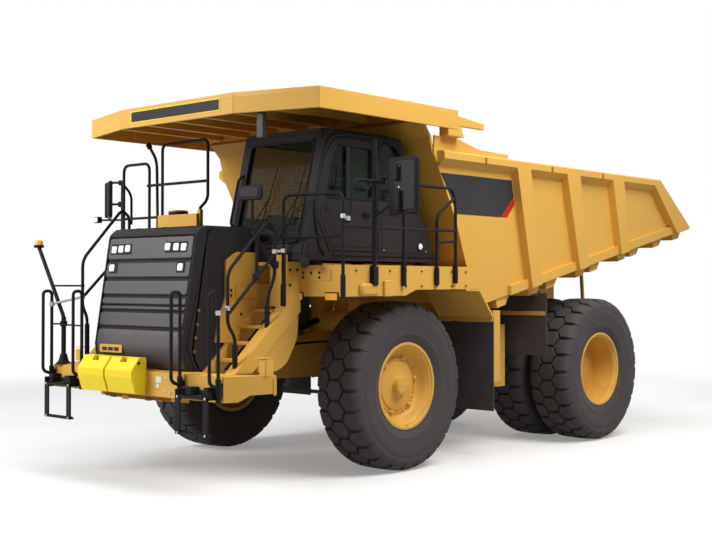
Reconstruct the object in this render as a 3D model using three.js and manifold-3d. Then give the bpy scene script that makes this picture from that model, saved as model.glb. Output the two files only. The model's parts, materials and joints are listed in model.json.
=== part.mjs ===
// Rigid-frame mining dump truck, in millimetres.
// +Z is up, the cab side (the driver's left) is +X and the tail points along +Y.
// Everything is laid out from the point on the ground under the front axle, and the finished
// group is then moved along Y so that its origin lies under the middle of the whole truck.
import * as THREE from "three";
import { mergeVertices } from "three/addons/utils/BufferGeometryUtils.js";
import Module from "manifold-3d";

const wasm = await Module();
wasm.setup();

// ---- Driving dimensions ----
const GAP = 0.3; // between pieces that touch
const RUNNING = 0.5; // end play of a shaft in its bore
const CLEAR = 12; // between pieces that pass each other

// wheels
const WHEELBASE = 4215;
const TYRE_SIDES = 24;
const TYRE_RADIUS = 1059; // to the corners of the faceted tread
const TYRE_HALF = 335;
const TREAD_HALF = 250;
const SEAT_RADIUS = 510; // bead seat
const LIP_RADIUS = 542;
const RIM_HALF = 272;
const FRONT_WHEEL_X = 1591;
const REAR_OUTER_X = 1846;
const DUAL_SPACING = 789;
const AXLE_Z = TYRE_RADIUS * Math.cos(Math.PI / TYRE_SIDES);

// steering and suspension
const KINGPIN_X = 1060;
const STRUT_RADIUS = 140;
const ROD_RADIUS = 100;
const SPINDLE_RADIUS = 74;
const STEERING_ARM = 430;
const TIE_ROD_Z = 830;

// frame
const RAIL_IN = 340;
const RAIL_OUT = 470;
const RAIL_TOP = 1790;
const RAIL_BOTTOM = 1150;

// bumper
const BUMPER_Y = -2796;
const BUMPER_HALF = 1599;
const BUMPER_TOP = 1308;
const BUMPER_LOW = 1026;
const BUMPER_DEPTH = 300;
const PUSH_BLOCK_DEPTH = 215;

// radiator grille and hood
const GRILLE_HALF = 829;
const HOOD_HALF = 860;
const HOOD_TOP = 2919; // of the grille's panel
const HOOD_CROWN = 2985;
const GRILLE_TOP_Y = -2517;
const GRILLE_FOOT_Y = -2731;
const GRILLE_FOOT_Z = 1592;
const HOOD_WALL = 40;

// decks
const DECK_TOP = 2535;
const DECK_HALF = 2130;
const DECK_FRONT = -1460;
const DECK_REAR = 1170; // end of the outer beam
const DECK_PLATE_REAR = 930; // the plate stops short of the dump body
const DECK_PLATE = 40;

// cab
const CAB_LEFT = 1700;
const CAB_RIGHT = 340;
const CAB_FLOOR = 2590;
const CAB_ROOF = 4130;
const CAB_WALL = 60;
const CAB_FRONT_LOW = -1660;
const CAB_FRONT_TOP = -1300;
const CAB_REAR_LOW = 770;
const CAB_REAR_TOP = 60;
const GLASS = 8;

// dump body
const BODY_HALF = 2125;
const WALL_IN = 1977;
const WALL_OUT = 2003;
const SIDE_TOP = 4000;
const SIDE_REAR_TOP_Y = 6099;
const TAIL_Y = 7126;
const TAIL_Z = 3240;
const FLOOR_FRONT_Y = 1470;
const FLOOR_FRONT_Z = 2060;
const CANOPY_TOP = 4526;
const CANOPY_LOW = 4281;
const CANOPY_FRONT = -2173;
const CANOPY_CORNER_Y = -1859;
const CANOPY_PANEL_HALF = 1046;
const CANOPY_REAR = 700;
const PIVOT_Y = WHEELBASE + 900;
const PIVOT_Z = 1600;
const PIVOT_PIN = 60;

// hoist cylinders
const HOIST_X = 590;
const HOIST_LOW = [3600, 1020];
const HOIST_HIGH = [3600, 2230];

// handrails
const TUBE = 19;
const SLEEVE = 30;
const RAIL_X = DECK_HALF + SLEEVE + GAP;

// mirrors set the overall width
const MIRROR_REACH = 2820;
const MIRROR_HALF_THICK = 30;

// ---- Solid helpers ----

/** A closed geometry as a manifold solid. */
function solid(geometry) {
  const g = geometry.clone();
  g.deleteAttribute("normal");
  g.deleteAttribute("uv");
  const merged = mergeVertices(g, 1e-3);
  return new wasm.Manifold(
    new wasm.Mesh({
      numProp: 3,
      vertProperties: new Float32Array(merged.attributes.position.array),
      triVerts: new Uint32Array(merged.index.array),
    }),
  );
}

/** A solid as a named mesh. */
function piece(name, shape, material) {
  const m = shape.getMesh();
  const g = new THREE.BufferGeometry();
  const count = m.numVert;
  const position = new Float32Array(count * 3);
  for (let i = 0; i < count; i++) {
    position.set(m.vertProperties.subarray(i * m.numProp, i * m.numProp + 3), i * 3);
  }
  g.setAttribute("position", new THREE.BufferAttribute(position, 3));
  g.setIndex(new THREE.BufferAttribute(new Uint32Array(m.triVerts), 1));
  const mesh = new THREE.Mesh(g, material);
  mesh.name = name;
  return mesh;
}

/** A box between two values on each axis. */
function box(x0, x1, y0, y1, z0, z1) {
  const g = new THREE.BoxGeometry(Math.abs(x1 - x0), Math.abs(y1 - y0), Math.abs(z1 - z0));
  g.translate((x0 + x1) / 2, (y0 + y1) / 2, (z0 + z1) / 2);
  return solid(g);
}

/** The points' outline, counter-clockwise, as a shape. */
function outline(points) {
  const pts = points.map((p) => new THREE.Vector2(p[0], p[1]));
  return new THREE.Shape(THREE.ShapeUtils.isClockWise(pts) ? pts.reverse() : pts);
}

function extruded(points, depth) {
  return new THREE.ExtrudeGeometry(outline(points), { depth, bevelEnabled: false, curveSegments: 8 });
}

/** An outline in (y, z) drawn out along X from x0 to x1. */
function slabX(points, x0, x1) {
  const g = extruded(points, x1 - x0);
  g.applyMatrix4(new THREE.Matrix4().set(0, 0, 1, x0, 1, 0, 0, 0, 0, 1, 0, 0, 0, 0, 0, 1));
  return solid(g);
}

/** An outline in (x, z) drawn out along Y from y0 to y1. */
function slabY(points, y0, y1) {
  const g = extruded(points, y1 - y0);
  g.applyMatrix4(new THREE.Matrix4().set(1, 0, 0, 0, 0, 0, -1, y1, 0, 1, 0, 0, 0, 0, 0, 1));
  return solid(g);
}

/** An outline in (x, y) drawn up from z0 to z1. */
function slabZ(points, z0, z1) {
  const g = extruded(points, z1 - z0);
  g.translate(0, 0, z0);
  return solid(g);
}

/** A round bar between two points. */
function bar(a, b, radius, sides = 12) {
  const from = new THREE.Vector3(...a);
  const to = new THREE.Vector3(...b);
  const along = to.clone().sub(from);
  const g = new THREE.CylinderGeometry(radius, radius, along.length(), sides);
  g.applyQuaternion(new THREE.Quaternion().setFromUnitVectors(new THREE.Vector3(0, 1, 0), along.normalize()));
  g.translate((a[0] + b[0]) / 2, (a[1] + b[1]) / 2, (a[2] + b[2]) / 2);
  return solid(g);
}

/** A ring or solid of revolution about a line along X, from (radius, x) points, flat side down. */
function turned(profile, x, y, z, side = 1, sides = TYRE_SIDES) {
  const pts = profile.map((p) => new THREE.Vector2(p[0], p[1]));
  const g = new THREE.LatheGeometry(pts, sides);
  g.rotateY(Math.PI / sides);
  g.rotateZ(-Math.PI / 2);
  let made = solid(g);
  if (made.volume() < 0) {
    const back = new THREE.LatheGeometry(pts.reverse(), sides);
    back.rotateY(Math.PI / sides);
    back.rotateZ(-Math.PI / 2);
    made = solid(back);
  }
  return made.scale([side, 1, 1]).translate([x, y, z]);
}

function joined(shapes) {
  return shapes.reduce((a, b) => a.add(b));
}

function mirrored(shape) {
  return shape.mirror([1, 0, 0]);
}

/** A path of straight lines with rounded corners, sampled only where it bends. */
class RailPath extends THREE.Curve {
  constructor(points, bend = 90, arcSteps = 2) {
    super();
    const pts = points.map((p) => new THREE.Vector3(...p));
    this.knots = [pts[0]];
    for (let i = 1; i < pts.length - 1; i++) {
      const before = pts[i - 1].clone().sub(pts[i]);
      const after = pts[i + 1].clone().sub(pts[i]);
      const cut = Math.min(bend, before.length() * 0.45, after.length() * 0.45);
      const start = pts[i].clone().addScaledVector(before.normalize(), cut);
      const end = pts[i].clone().addScaledVector(after.normalize(), cut);
      const arc = new THREE.QuadraticBezierCurve3(start, pts[i], end);
      for (let k = 0; k <= arcSteps; k++) {
        this.knots.push(arc.getPoint(k / arcSteps));
      }
    }
    this.knots.push(pts[pts.length - 1]);
  }

  get steps() {
    return this.knots.length - 1;
  }

  getPoint(t) {
    const s = t * this.steps;
    const i = Math.min(Math.floor(s + 1e-9), this.steps - 1);
    return this.knots[i].clone().lerp(this.knots[i + 1], s - i);
  }

  getPointAt(u) {
    return this.getPoint(u);
  }

  getTangentAt(u, target = new THREE.Vector3()) {
    const i = Math.round(u * this.steps);
    const a = this.knots[Math.max(i - 1, 0)];
    const b = this.knots[Math.min(i + 1, this.steps)];
    return target.copy(b).sub(a).normalize();
  }
}

/** A bent tube along the points. */
function tube(points, radius = TUBE, bend = 90) {
  const path = new RailPath(points, bend);
  const ring = [];
  const sides = 6;
  for (let i = 0; i < sides; i++) {
    const a = (2 * Math.PI * i) / sides;
    ring.push(new THREE.Vector2(radius * Math.cos(a), radius * Math.sin(a)));
  }
  const g = new THREE.ExtrudeGeometry(new THREE.Shape(ring), { steps: path.steps, extrudePath: path });
  let made = solid(g);
  if (made.volume() < 0) {
    const back = new THREE.ExtrudeGeometry(new THREE.Shape(ring.reverse()), {
      steps: path.steps,
      extrudePath: path,
    });
    made = solid(back);
  }
  return made;
}

/** The thick sleeve at the foot of a post. */
function sleeve(x, y, z0, z1) {
  return bar([x, y, z0], [x, y, z1], SLEEVE, 8);
}

// ---- Materials ----
const finish = (color, roughness, metalness) =>
  new THREE.MeshStandardMaterial({ color, roughness, metalness });
const yellowPaint = () => finish(0xe0a93f, 0.45, 0.1);
const blackPaint = () => finish(0x3a3638, 0.6, 0.1);
const blockPaint = () => finish(0xf6d72f, 0.5, 0.0);
const tubeBlack = () => finish(0x1d1c1e, 0.55, 0.2);
const tyreRubber = () => finish(0x353335, 0.9, 0.0);
const flapRubber = () => finish(0x2f2b2b, 0.85, 0.0);
const windowGlass = () => {
  const m = finish(0x5d6a55, 0.05, 0.0);
  m.transparent = true;
  m.opacity = 0.35;
  return m;
};
const tealCloth = () => finish(0x24504a, 0.9, 0.0);
const darkPlastic = () => finish(0x242326, 0.7, 0.0);
const castGrey = () => finish(0x4c4a48, 0.6, 0.5);
const chrome = () => finish(0xd5d7d9, 0.12, 1.0);

const truck = new THREE.Group();
const add = (name, shape, material) => truck.add(piece(name, shape, material));
/** A piece on the left, and its mirror image on the right. */
function addPair(left, right, shape, material) {
  add(left, shape, material());
  add(right, mirrored(shape), material());
}

// ---- Frame ----
const KNUCKLE_TOP = AXLE_Z + 170;
const STRUT_FOOT = KNUCKLE_TOP + CLEAR;
const STRUT_BORE_DEPTH = 160;
const CROSS_Z = 1830;
const HOIST_PIN = 40;
const LUG_REACH = 94; // of the body's two lugs, either side of the hoist's eye
const LUG_PLATE = 32;
const A_FRAME_Y = 2760;

function frameRail() {
  const profile = [
    [BUMPER_Y + BUMPER_DEPTH + GAP, BUMPER_LOW + 10],
    [-1500, RAIL_BOTTOM - 20],
    [1400, RAIL_BOTTOM - 60],
    [3100, RAIL_BOTTOM + 20],
    [WHEELBASE - 620, AXLE_Z + 400],
    [WHEELBASE + 500, AXLE_Z + 400],
    [PIVOT_Y - 200, PIVOT_Z - 190],
    [PIVOT_Y + 90, PIVOT_Z - 190],
    [PIVOT_Y + 160, PIVOT_Z - 60],
    [PIVOT_Y + 150, PIVOT_Z + 60],
    [PIVOT_Y + 60, RAIL_TOP],
    [300, RAIL_TOP],
    [-500, 1640],
    [BUMPER_Y + BUMPER_DEPTH + GAP, 1420],
  ];
  return slabX(profile, RAIL_IN, RAIL_OUT);
}

function frameSide() {
  const housing = bar([KINGPIN_X, 0, STRUT_FOOT], [KINGPIN_X, 0, 2110], STRUT_RADIUS, 16);
  const bore = bar(
    [KINGPIN_X, 0, STRUT_FOOT - 5],
    [KINGPIN_X, 0, STRUT_FOOT + STRUT_BORE_DEPTH],
    ROD_RADIUS + 0.9,
    32,
  );
  const arm = bar([RAIL_IN + 20, 0, CROSS_Z], [KINGPIN_X, 0, CROSS_Z], 135, 12);
  const upright = box(RAIL_IN, RAIL_OUT, -150, 150, RAIL_TOP - 150, DECK_UNDER - GAP);
  const deckPost = box(560, 700, 60, 200, CROSS_Z, DECK_UNDER - GAP);
  const pivot = bar([RAIL_OUT - 20, PIVOT_Y, PIVOT_Z], [RAIL_OUT + 88, PIVOT_Y, PIVOT_Z], PIVOT_PIN, 24);
  const hoistPin = bar(
    [RAIL_OUT - 20, HOIST_LOW[0], HOIST_LOW[1]],
    [HOIST_X + 60, HOIST_LOW[0], HOIST_LOW[1]],
    HOIST_PIN,
    16,
  );
  const hoistLug = slabX(
    [
      [HOIST_LOW[0] - 110, HOIST_LOW[1] - 60],
      [HOIST_LOW[0] + 100, HOIST_LOW[1] - 60],
      [HOIST_LOW[0] + 240, AXLE_Z + 440],
      [HOIST_LOW[0] - 260, AXLE_Z + 440],
    ],
    RAIL_IN,
    RAIL_OUT,
  );
  const side = joined([frameRail(), housing, arm, upright, deckPost, pivot, hoistPin, hoistLug]);
  return side.subtract(bore);
}

const DECK_UNDER = DECK_TOP - DECK_PLATE - 140; // underside of the deck's beams
const left = frameSide();
const cross = [
  bar([-RAIL_IN - 20, 0, CROSS_Z], [RAIL_IN + 20, 0, CROSS_Z], 135, 12),
  box(-RAIL_IN - 20, RAIL_IN + 20, -2420, -2250, 1080, 1330),
  box(-RAIL_IN - 20, RAIL_IN + 20, A_FRAME_Y - 320, A_FRAME_Y - 170, 1200, RAIL_TOP - 60),
  bar([-RAIL_IN - 20, PIVOT_Y - 60, PIVOT_Z], [RAIL_IN + 20, PIVOT_Y - 60, PIVOT_Z], 130, 16),
];
add("main_frame", joined([left, mirrored(left), ...cross]), yellowPaint());

// ---- Front bumper, push blocks and lower ladders ----
const RETURN_ANGLE = THREE.MathUtils.degToRad(20.5);
const RETURN_LENGTH = 625;
const LAMP_X = 1680;
const LAMP_Y = -2340;

function bumper() {
  const back = BUMPER_Y + BUMPER_DEPTH;
  const endX = BUMPER_HALF + RETURN_LENGTH * Math.sin(RETURN_ANGLE);
  const endY = BUMPER_Y + RETURN_LENGTH * Math.cos(RETURN_ANGLE);
  const half = [
    [0, BUMPER_Y],
    [BUMPER_HALF, BUMPER_Y],
    [endX, endY],
    [endX - 90, endY + 20],
    [BUMPER_HALF - 110, back],
    [0, back],
  ];
  const full = half.concat(
    half
      .slice(1, -1)
      .reverse()
      .map((p) => [-p[0], p[1]]),
  );
  const block = slabZ(full, BUMPER_LOW, BUMPER_TOP);
  // the returns are shallower than the front
  const under = slabX(
    [
      [BUMPER_Y + 150, BUMPER_LOW - 5],
      [BUMPER_Y + 300, BUMPER_LOW + 72],
      [endY + 60, BUMPER_LOW + 80],
      [endY + 60, BUMPER_LOW - 5],
    ],
    BUMPER_HALF - 105,
    BUMPER_HALF + 400,
  );
  const guard = slabX(
    [
      [BUMPER_Y + 60, BUMPER_LOW + 10],
      [BUMPER_Y + 80, BUMPER_LOW - 50],
      [BUMPER_Y + BUMPER_DEPTH - 20, BUMPER_LOW - 80],
      [BUMPER_Y + BUMPER_DEPTH - 20, BUMPER_LOW + 10],
    ],
    -700,
    700,
  );
  const lampBox = box(LAMP_X, LAMP_X + 110, LAMP_Y, LAMP_Y + 110, BUMPER_TOP - 5, BUMPER_TOP + 180);
  return joined([block.subtract(under).subtract(mirrored(under)), guard, lampBox]);
}
add("front_bumper", bumper(), yellowPaint());

function pushBlock(x0, x1) {
  const y1 = BUMPER_Y - GAP;
  const y0 = y1 - PUSH_BLOCK_DEPTH;
  const side = [
    [y1, BUMPER_LOW],
    [y0 + 60, BUMPER_LOW + 25],
    [y0, BUMPER_LOW + 210],
    [y0, BUMPER_LOW + 290],
    [y0 + 110, BUMPER_TOP + 155],
    [y1, BUMPER_TOP + 155],
  ];
  const pocket = box(
    (x0 + x1) / 2 - 60,
    (x0 + x1) / 2 + 60,
    y0 + 70,
    y0 + 150,
    BUMPER_TOP + 40,
    BUMPER_TOP + 200,
  );
  return slabX(side, x0, x1).subtract(pocket);
}
const bridge = box(-400, -90, BUMPER_Y - GAP - 60, BUMPER_Y - GAP, BUMPER_LOW + 20, BUMPER_TOP + 120);
add("push_blocks", joined([pushBlock(-775, -270), pushBlock(-235, 270), bridge]), blockPaint());

// ---- Engine ----
add(
  "engine_block",
  joined([
    box(-RAIL_IN + CLEAR, RAIL_IN - CLEAR, -2300, -200, 1330 + GAP, 1640),
    box(-420, 420, -2050, -250, RAIL_TOP + GAP, 2280),
    box(-300, 300, -2050, -250, 1600, RAIL_TOP + CLEAR + 10),
  ]),
  castGrey(),
);

// ---- Grille and hood ----
const CURVE_FOOT_Z = BUMPER_TOP + GAP;
const GRILLE_THICK = 60;
/** The back of the grille from its top edge down to its foot, in (y, z). */
const grilleBack = [
  [GRILLE_TOP_Y + GRILLE_THICK + 60, HOOD_CROWN],
  [GRILLE_TOP_Y + GRILLE_THICK + 60, HOOD_TOP - 60],
  [GRILLE_FOOT_Y + GRILLE_THICK, GRILLE_FOOT_Z + 10],
  [GRILLE_FOOT_Y + 150, CURVE_FOOT_Z + 60],
  [GRILLE_FOOT_Y + 210, CURVE_FOOT_Z],
];

function grille() {
  const lean = (GRILLE_TOP_Y - GRILLE_FOOT_Y) / (HOOD_TOP - GRILLE_FOOT_Z);
  const front = (z) => GRILLE_FOOT_Y + lean * (z - GRILLE_FOOT_Z);
  const side = [
    [front(HOOD_TOP - 60), HOOD_TOP - 60],
    [front(HOOD_TOP) + 25, HOOD_TOP],
    [front(HOOD_TOP) + 60, HOOD_CROWN - 25],
    ...grilleBack,
    [GRILLE_FOOT_Y + 140, CURVE_FOOT_Z],
    [GRILLE_FOOT_Y + 60, CURVE_FOOT_Z + 80],
    [GRILLE_FOOT_Y + 10, GRILLE_FOOT_Z - 90],
    [GRILLE_FOOT_Y, GRILLE_FOOT_Z],
  ];
  const panel = slabX(side, -GRILLE_HALF, GRILLE_HALF);
  const chamfer = slabX(side, GRILLE_HALF - 5, HOOD_HALF).intersect(
    slabZ(
      [
        [GRILLE_HALF - 10, GRILLE_FOOT_Y - 100],
        [GRILLE_HALF - 10, -2000],
        [HOOD_HALF, -2000],
        [HOOD_HALF, GRILLE_FOOT_Y - 60],
      ],
      0,
      4000,
    ),
  );
  const groove = (
    z) => box(-GRILLE_HALF + 40,
    GRILLE_HALF - 40,
    front(z) - 30,
    front(z) + 14,
    z - 12,
    z + 12,
  );
  let shape = joined([panel, chamfer, mirrored(chamfer)]);
  for (const z of [2585, 2370, 2165, 1990, 1790]) {
    shape = shape.subtract(groove(z));
  }
  return shape;
}
add("radiator_grille", grille(), blackPaint());

const HOOD_REAR = CAB_FRONT_LOW - 50;

function hood() {
  const sideOutline = [
    ...grilleBack.map((p) => [p[0] + GAP, p[1]]),
    [HOOD_REAR, CURVE_FOOT_Z],
    [HOOD_REAR, HOOD_CROWN],
  ];
  const outer = slabX(sideOutline, -HOOD_HALF, HOOD_HALF);
  const inner = box(
    -HOOD_HALF + HOOD_WALL,
    HOOD_HALF - HOOD_WALL,
    -4000,
    HOOD_REAR - HOOD_WALL,
    0,
    HOOD_TOP - HOOD_WALL,
  );
  const hollow = outer.subtract(inner);
  const rearOpen = box(-760, 760, HOOD_REAR - 60, HOOD_REAR + 10, 0, 2300);
  return hollow.subtract(rearOpen);
}
add("hood", hood(), blackPaint());

// ---- Decks with their fenders ----
const FENDER_IN = 1230;
const FLAP_Y = 1500;
const FLAP_TOP = 1880;

function deck(inner, cabSide) {
  const low = DECK_TOP - 365;
  const fenderTop = DECK_TOP - 290;
  const plate = box(inner, DECK_HALF, DECK_FRONT, DECK_PLATE_REAR, DECK_TOP - DECK_PLATE, DECK_TOP);
  const beams = [
    slabX(
      [
        [DECK_FRONT, DECK_TOP],
        [DECK_REAR, DECK_TOP],
        [DECK_REAR, fenderTop + 5],
        [-150, fenderTop],
        [-350, low + 5],
        [DECK_FRONT, low],
      ],
      DECK_HALF - 60,
      DECK_HALF,
    ),
    box(1200, DECK_HALF, DECK_FRONT, DECK_FRONT + 60, low, DECK_TOP),
    box(inner, 1210, DECK_FRONT, DECK_FRONT + 60, DECK_TOP - 220, DECK_TOP),
    box(inner, FENDER_IN + 10, DECK_PLATE_REAR - 60, DECK_PLATE_REAR, DECK_UNDER, DECK_TOP),
    box(FENDER_IN, DECK_HALF, DECK_PLATE_REAR - 60, DECK_PLATE_REAR, fenderTop - 20, DECK_TOP),
    box(inner, inner + 65, DECK_FRONT, DECK_PLATE_REAR, DECK_UNDER, DECK_TOP),
    box(inner, DECK_HALF, 60, 160, DECK_UNDER, DECK_TOP),
    box(560, 700, DECK_FRONT, DECK_PLATE_REAR, DECK_UNDER, DECK_TOP),
  ];
  const slope = slabX(
    [
      [DECK_PLATE_REAR - 40, fenderTop],
      [DECK_REAR - 10, fenderTop],
      [FLAP_Y - 40, FLAP_TOP + 20],
      [FLAP_Y - 40, FLAP_TOP - 60],
      [FLAP_Y - 60, FLAP_TOP - 60],
      [FLAP_Y - 60, FLAP_TOP],
      [DECK_REAR - 20, fenderTop - 20],
      [DECK_PLATE_REAR - 40, fenderTop - 20],
    ],
    FENDER_IN,
    DECK_HALF,
  );
  const shape = joined([plate, ...beams, slope]);
  return cabSide ? shape : mirrored(shape);
}
add("left_deck", deck(290, true), yellowPaint());
const rightDeck = joined([deck(GAP, false), box(-30, 285, DECK_FRONT, 600, DECK_TOP - DECK_PLATE, DECK_TOP)]);

const flap = box(FENDER_IN, DECK_HALF, FLAP_Y - 40 + GAP, FLAP_Y - 24, 640, FLAP_TOP);
addPair("left_front_mudflap", "right_front_mudflap", flap, flapRubber);

// ---- Stairs from the bumper to the decks ----
const STAIR_IN = 900;
const STAIR_OUT = 1450;
const STRINGER = 170; // width of the outer stringer
const STAIR_HEAD_Y = -1700; // front of the stringer's upright head
const STEP_COUNT = 4;

/** A stringer's side outline from its foot on the bumper up to the deck, with a head of a given top. */
function stringer(headTop) {
  return [
    [-2500, BUMPER_TOP + GAP],
    [STAIR_HEAD_Y, 2045],
    [STAIR_HEAD_Y, headTop],
    [DECK_FRONT - GAP, headTop],
    [DECK_FRONT - GAP, 1990],
    [-2230, BUMPER_TOP + GAP],
  ];
}

function stair() {
  const headPlate = box(
    STAIR_OUT - STRINGER,
    STAIR_OUT,
    STAIR_HEAD_Y,
    CAB_FRONT_LOW - CLEAR,
    CAB_FLOOR - CLEAR - 10,
    2655,
  );
  const gusset = [
    [-2130, BUMPER_TOP + GAP],
    [-1815, BUMPER_TOP + GAP],
    [-1651, 1394],
    [-1480, 1682],
    [-1470, 1900],
    [-1470, 2060],
    [-2100, 1500],
  ];
  const innerPlate = [
    [-2303, 1637],
    [-2039, 1627],
    [-1700, 1950],
    [DECK_FRONT - GAP, 2100],
    [DECK_FRONT - GAP, DECK_TOP - CLEAR],
    [CAB_FRONT_LOW - CLEAR, DECK_TOP - CLEAR],
    [CAB_FRONT_LOW - CLEAR, 2690],
    [-1971, 2690],
    [-2139, 2587],
    [-2139, 2165],
    [-2245, 1912],
  ];
  const parts = [
    slabX(stringer(CAB_FLOOR - CLEAR), STAIR_OUT - STRINGER, STAIR_OUT),
    headPlate,
    slabX(gusset, STAIR_OUT - 60, STAIR_OUT - 30),
    slabX(innerPlate, HOOD_HALF + CLEAR, HOOD_HALF + CLEAR + 30),
    slabX(stringer(2320), STAIR_IN, STAIR_IN + 50),
    box(HOOD_HALF + CLEAR, STAIR_IN + 20, -2000, DECK_FRONT - GAP, 2150, 2300),
  ];
  for (let i = 0; i < STEP_COUNT; i++) {
    const s = (i + 0.6) / STEP_COUNT;
    const y = THREE.MathUtils.lerp(-2450, -1700, s);
    const z = THREE.MathUtils.lerp(BUMPER_TOP + 10, 2060, s);
    parts.push(box(STAIR_IN + 10, STAIR_OUT - STRINGER + 10, y, y + 240, z, z + 35));
  }
  return joined(parts);
}
const LADDER_IN = 1034;
const LADDER_OUT = 1499;

function ladder() {
  const y0 = BUMPER_Y - 174;
  const y1 = BUMPER_Y - GAP;
  return joined([
    box(LADDER_IN - 40, LADDER_IN + 40, y0, y0 + 20, 665, 1090),
    box(LADDER_OUT - 40, LADDER_OUT + 40, y0, y0 + 20, 665, 1090),
    box(LADDER_IN - 35, LADDER_OUT + 35, y0, y0 + 60, 665, 690),
    box(LADDER_IN - 35, LADDER_OUT + 35, y0, y0 + 60, 1065, 1090),
    box(LADDER_IN - 40, LADDER_IN - 20, y0, y1, 1060, 1160),
    box(LADDER_OUT + 20, LADDER_OUT + 40, y0, y1, 1060, 1160),
  ]);
}

// ---- Handrails ----
const GRAB_Y = BUMPER_Y - SLEEVE - 20;
const GRAB_TOP = 2225;
const GRAB_REACH = 125;
const GRAB_IN = 930;
const GRAB_OUT = 1572;

/** A looped grab rail on the bumper's face beside the ladder, its outer leg standing well off. */
function grabLoop(x) {
  const outer = GRAB_Y - GRAB_REACH;
  return joined([
    tube([
      [x, GRAB_Y, 1040],
      [x, GRAB_Y, GRAB_TOP],
      [x, outer, GRAB_TOP],
      [x, outer, 1230],
      [x, GRAB_Y, 1190],
    ]),
    sleeve(x, GRAB_Y, 1030, 1290),
  ]);
}
/** The plate on the bumper's face that carries the ladder and both grab rails. */
const hanger = box(GRAB_IN - 20, GRAB_OUT + 20, GRAB_Y + SLEEVE - 14, BUMPER_Y - GAP, 1090, 1150);
const outerGrab = grabLoop(GRAB_OUT);
const innerGrab = grabLoop(GRAB_IN);
const ladderSet = joined([ladder(), hanger, outerGrab, innerGrab]);
add("left_ladder", ladderSet, tubeBlack());

const POST_3 = [1432, STAIR_HEAD_Y - SLEEVE - GAP];
const POST_4 = [RAIL_X, -1500];
const STAIR_RAIL_X = 1368;

const STAIR_RAIL_FRONT = -2530;

/** The rail that climbs beside the stair on its outer stringer, raised by a height, its foot set back. */
function stairRail(rise, back) {
  const x = STAIR_RAIL_X;
  const foot = STAIR_RAIL_FRONT + back;
  return joined([
    sleeve(x, foot, 1370, 1640 + rise),
    tube([
      [x, foot, 1390],
      [x, foot, 1720 + rise],
      [x, STAIR_RAIL_FRONT, 1860 + rise],
      [x, STAIR_RAIL_FRONT, 2450 + rise],
      [x, -1930, 3035 + 1.4 * rise],
      [x, -1807, 2960 + 1.4 * rise],
      [x, -1807, 2400],
      [x, -1926, 2150],
      [x, -1926, 1850],
    ]),
    sleeve(x, -1926, 1810, 2075),
    tube([
      [x, STAIR_RAIL_FRONT, 1970 + rise],
      [x, -1807, 2660 + rise],
    ]),
  ]);
}

/** The small mirror on its stalk, clamped to the left stair's rail. */
function stairMirror() {
  const x = STAIR_RAIL_X;
  return joined([
    tube([
      [x, -2110, 2380],
      [x, -2088, 2480],
      [x, -2088, 2850],
      [x, -2160, 2980],
      [x, -2160, 3350],
    ]),
    box(x - 190, x + 190, -2205, -2165, 3265, 3435),
    tube([
      [x, -2105, 2880],
      [x, -1868, 2540],
      [x, -1790, 2520],
    ]),
    tube([
      [x, -1868, 2540],
      [x, -1780, 2560],
    ]),
  ]);
}
add("left_stair", joined([stair(), stairRail(0, 110), stairMirror()]), yellowPaint());
add("right_stair", mirrored(joined([stair(), stairRail(170, 70)])), yellowPaint());

const SIDE_RAIL_END = 600;

/** The rail back along the deck's side, from a start near its front, with a mid bar under its top. */
function sideRail(start, top, mid) {
  const x = RAIL_X;
  return joined([
    tube([
      [x, start, mid + 60],
      [x, start + 60, mid + 60],
      [x, start + 130, top],
      [x, SIDE_RAIL_END - 60, top],
      [x, SIDE_RAIL_END, top - 200],
      [x, SIDE_RAIL_END, 2330],
    ]),
    tube(
      [
        [x, start - 40, mid],
        [x, SIDE_RAIL_END, mid + 20],
      ],
      TUBE - 3,
    ),
    sleeve(x, -420, 2290, 2540),
    bar([x, -420, 2300], [x, -420, top], TUBE, 8),
    sleeve(x, SIDE_RAIL_END, 2320, 2560),
  ]);
}

/** The gate rail round the left front corner, the side rail with its grab loop, and the mirror. */
function leftRail() {
  const x = RAIL_X;
  const mirrorY = -960;
  return joined([
    sleeve(x, POST_4[1], 2150, 2420),
    tube([
      [x, POST_4[1], 2160],
      [x, POST_4[1], 3350],
      [POST_3[0], POST_3[1], 3340],
      [POST_3[0], POST_3[1], 2070],
    ]),
    sleeve(POST_3[0], POST_3[1], 2057, 2314),
    tube(
      [
        [x, POST_4[1], 2860],
        [POST_3[0], POST_3[1], 2845],
      ],
      TUBE - 3,
    ),
    sideRail(POST_4[1] + 40, 3515, 2965),
    tube([
      [x, 220, 2330],
      [x, 220, 3165],
      [x, 560, 3390],
    ]),
    bar([x, mirrorY, 2290], [x, mirrorY, 4010], TUBE + 9, 8),
    tube(
      [
        [x, mirrorY, 3500],
        [x + 280, mirrorY + 20, 3560],
      ],
      TUBE - 3,
    ),
    tube(
      [
        [x, mirrorY, 3100],
        [x + 280, mirrorY + 20, 3250],
      ],
      TUBE - 3,
    ),
    box(x + 230, MIRROR_REACH, mirrorY - 35, mirrorY + 35, 3110, 3770),
  ]);
}
add("left_deck_handrail", leftRail(), tubeBlack());

// ---- Right deck equipment ----
const BOX_Y = HOOD_REAR + 50;
const BOX_TOP = 3200;
const GUARD_Y = -1420;
const GUARD_TOP = 4155;
const DUCT_TOP = 3015;
const STAND_TOP = BOX_TOP + 70;
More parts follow.
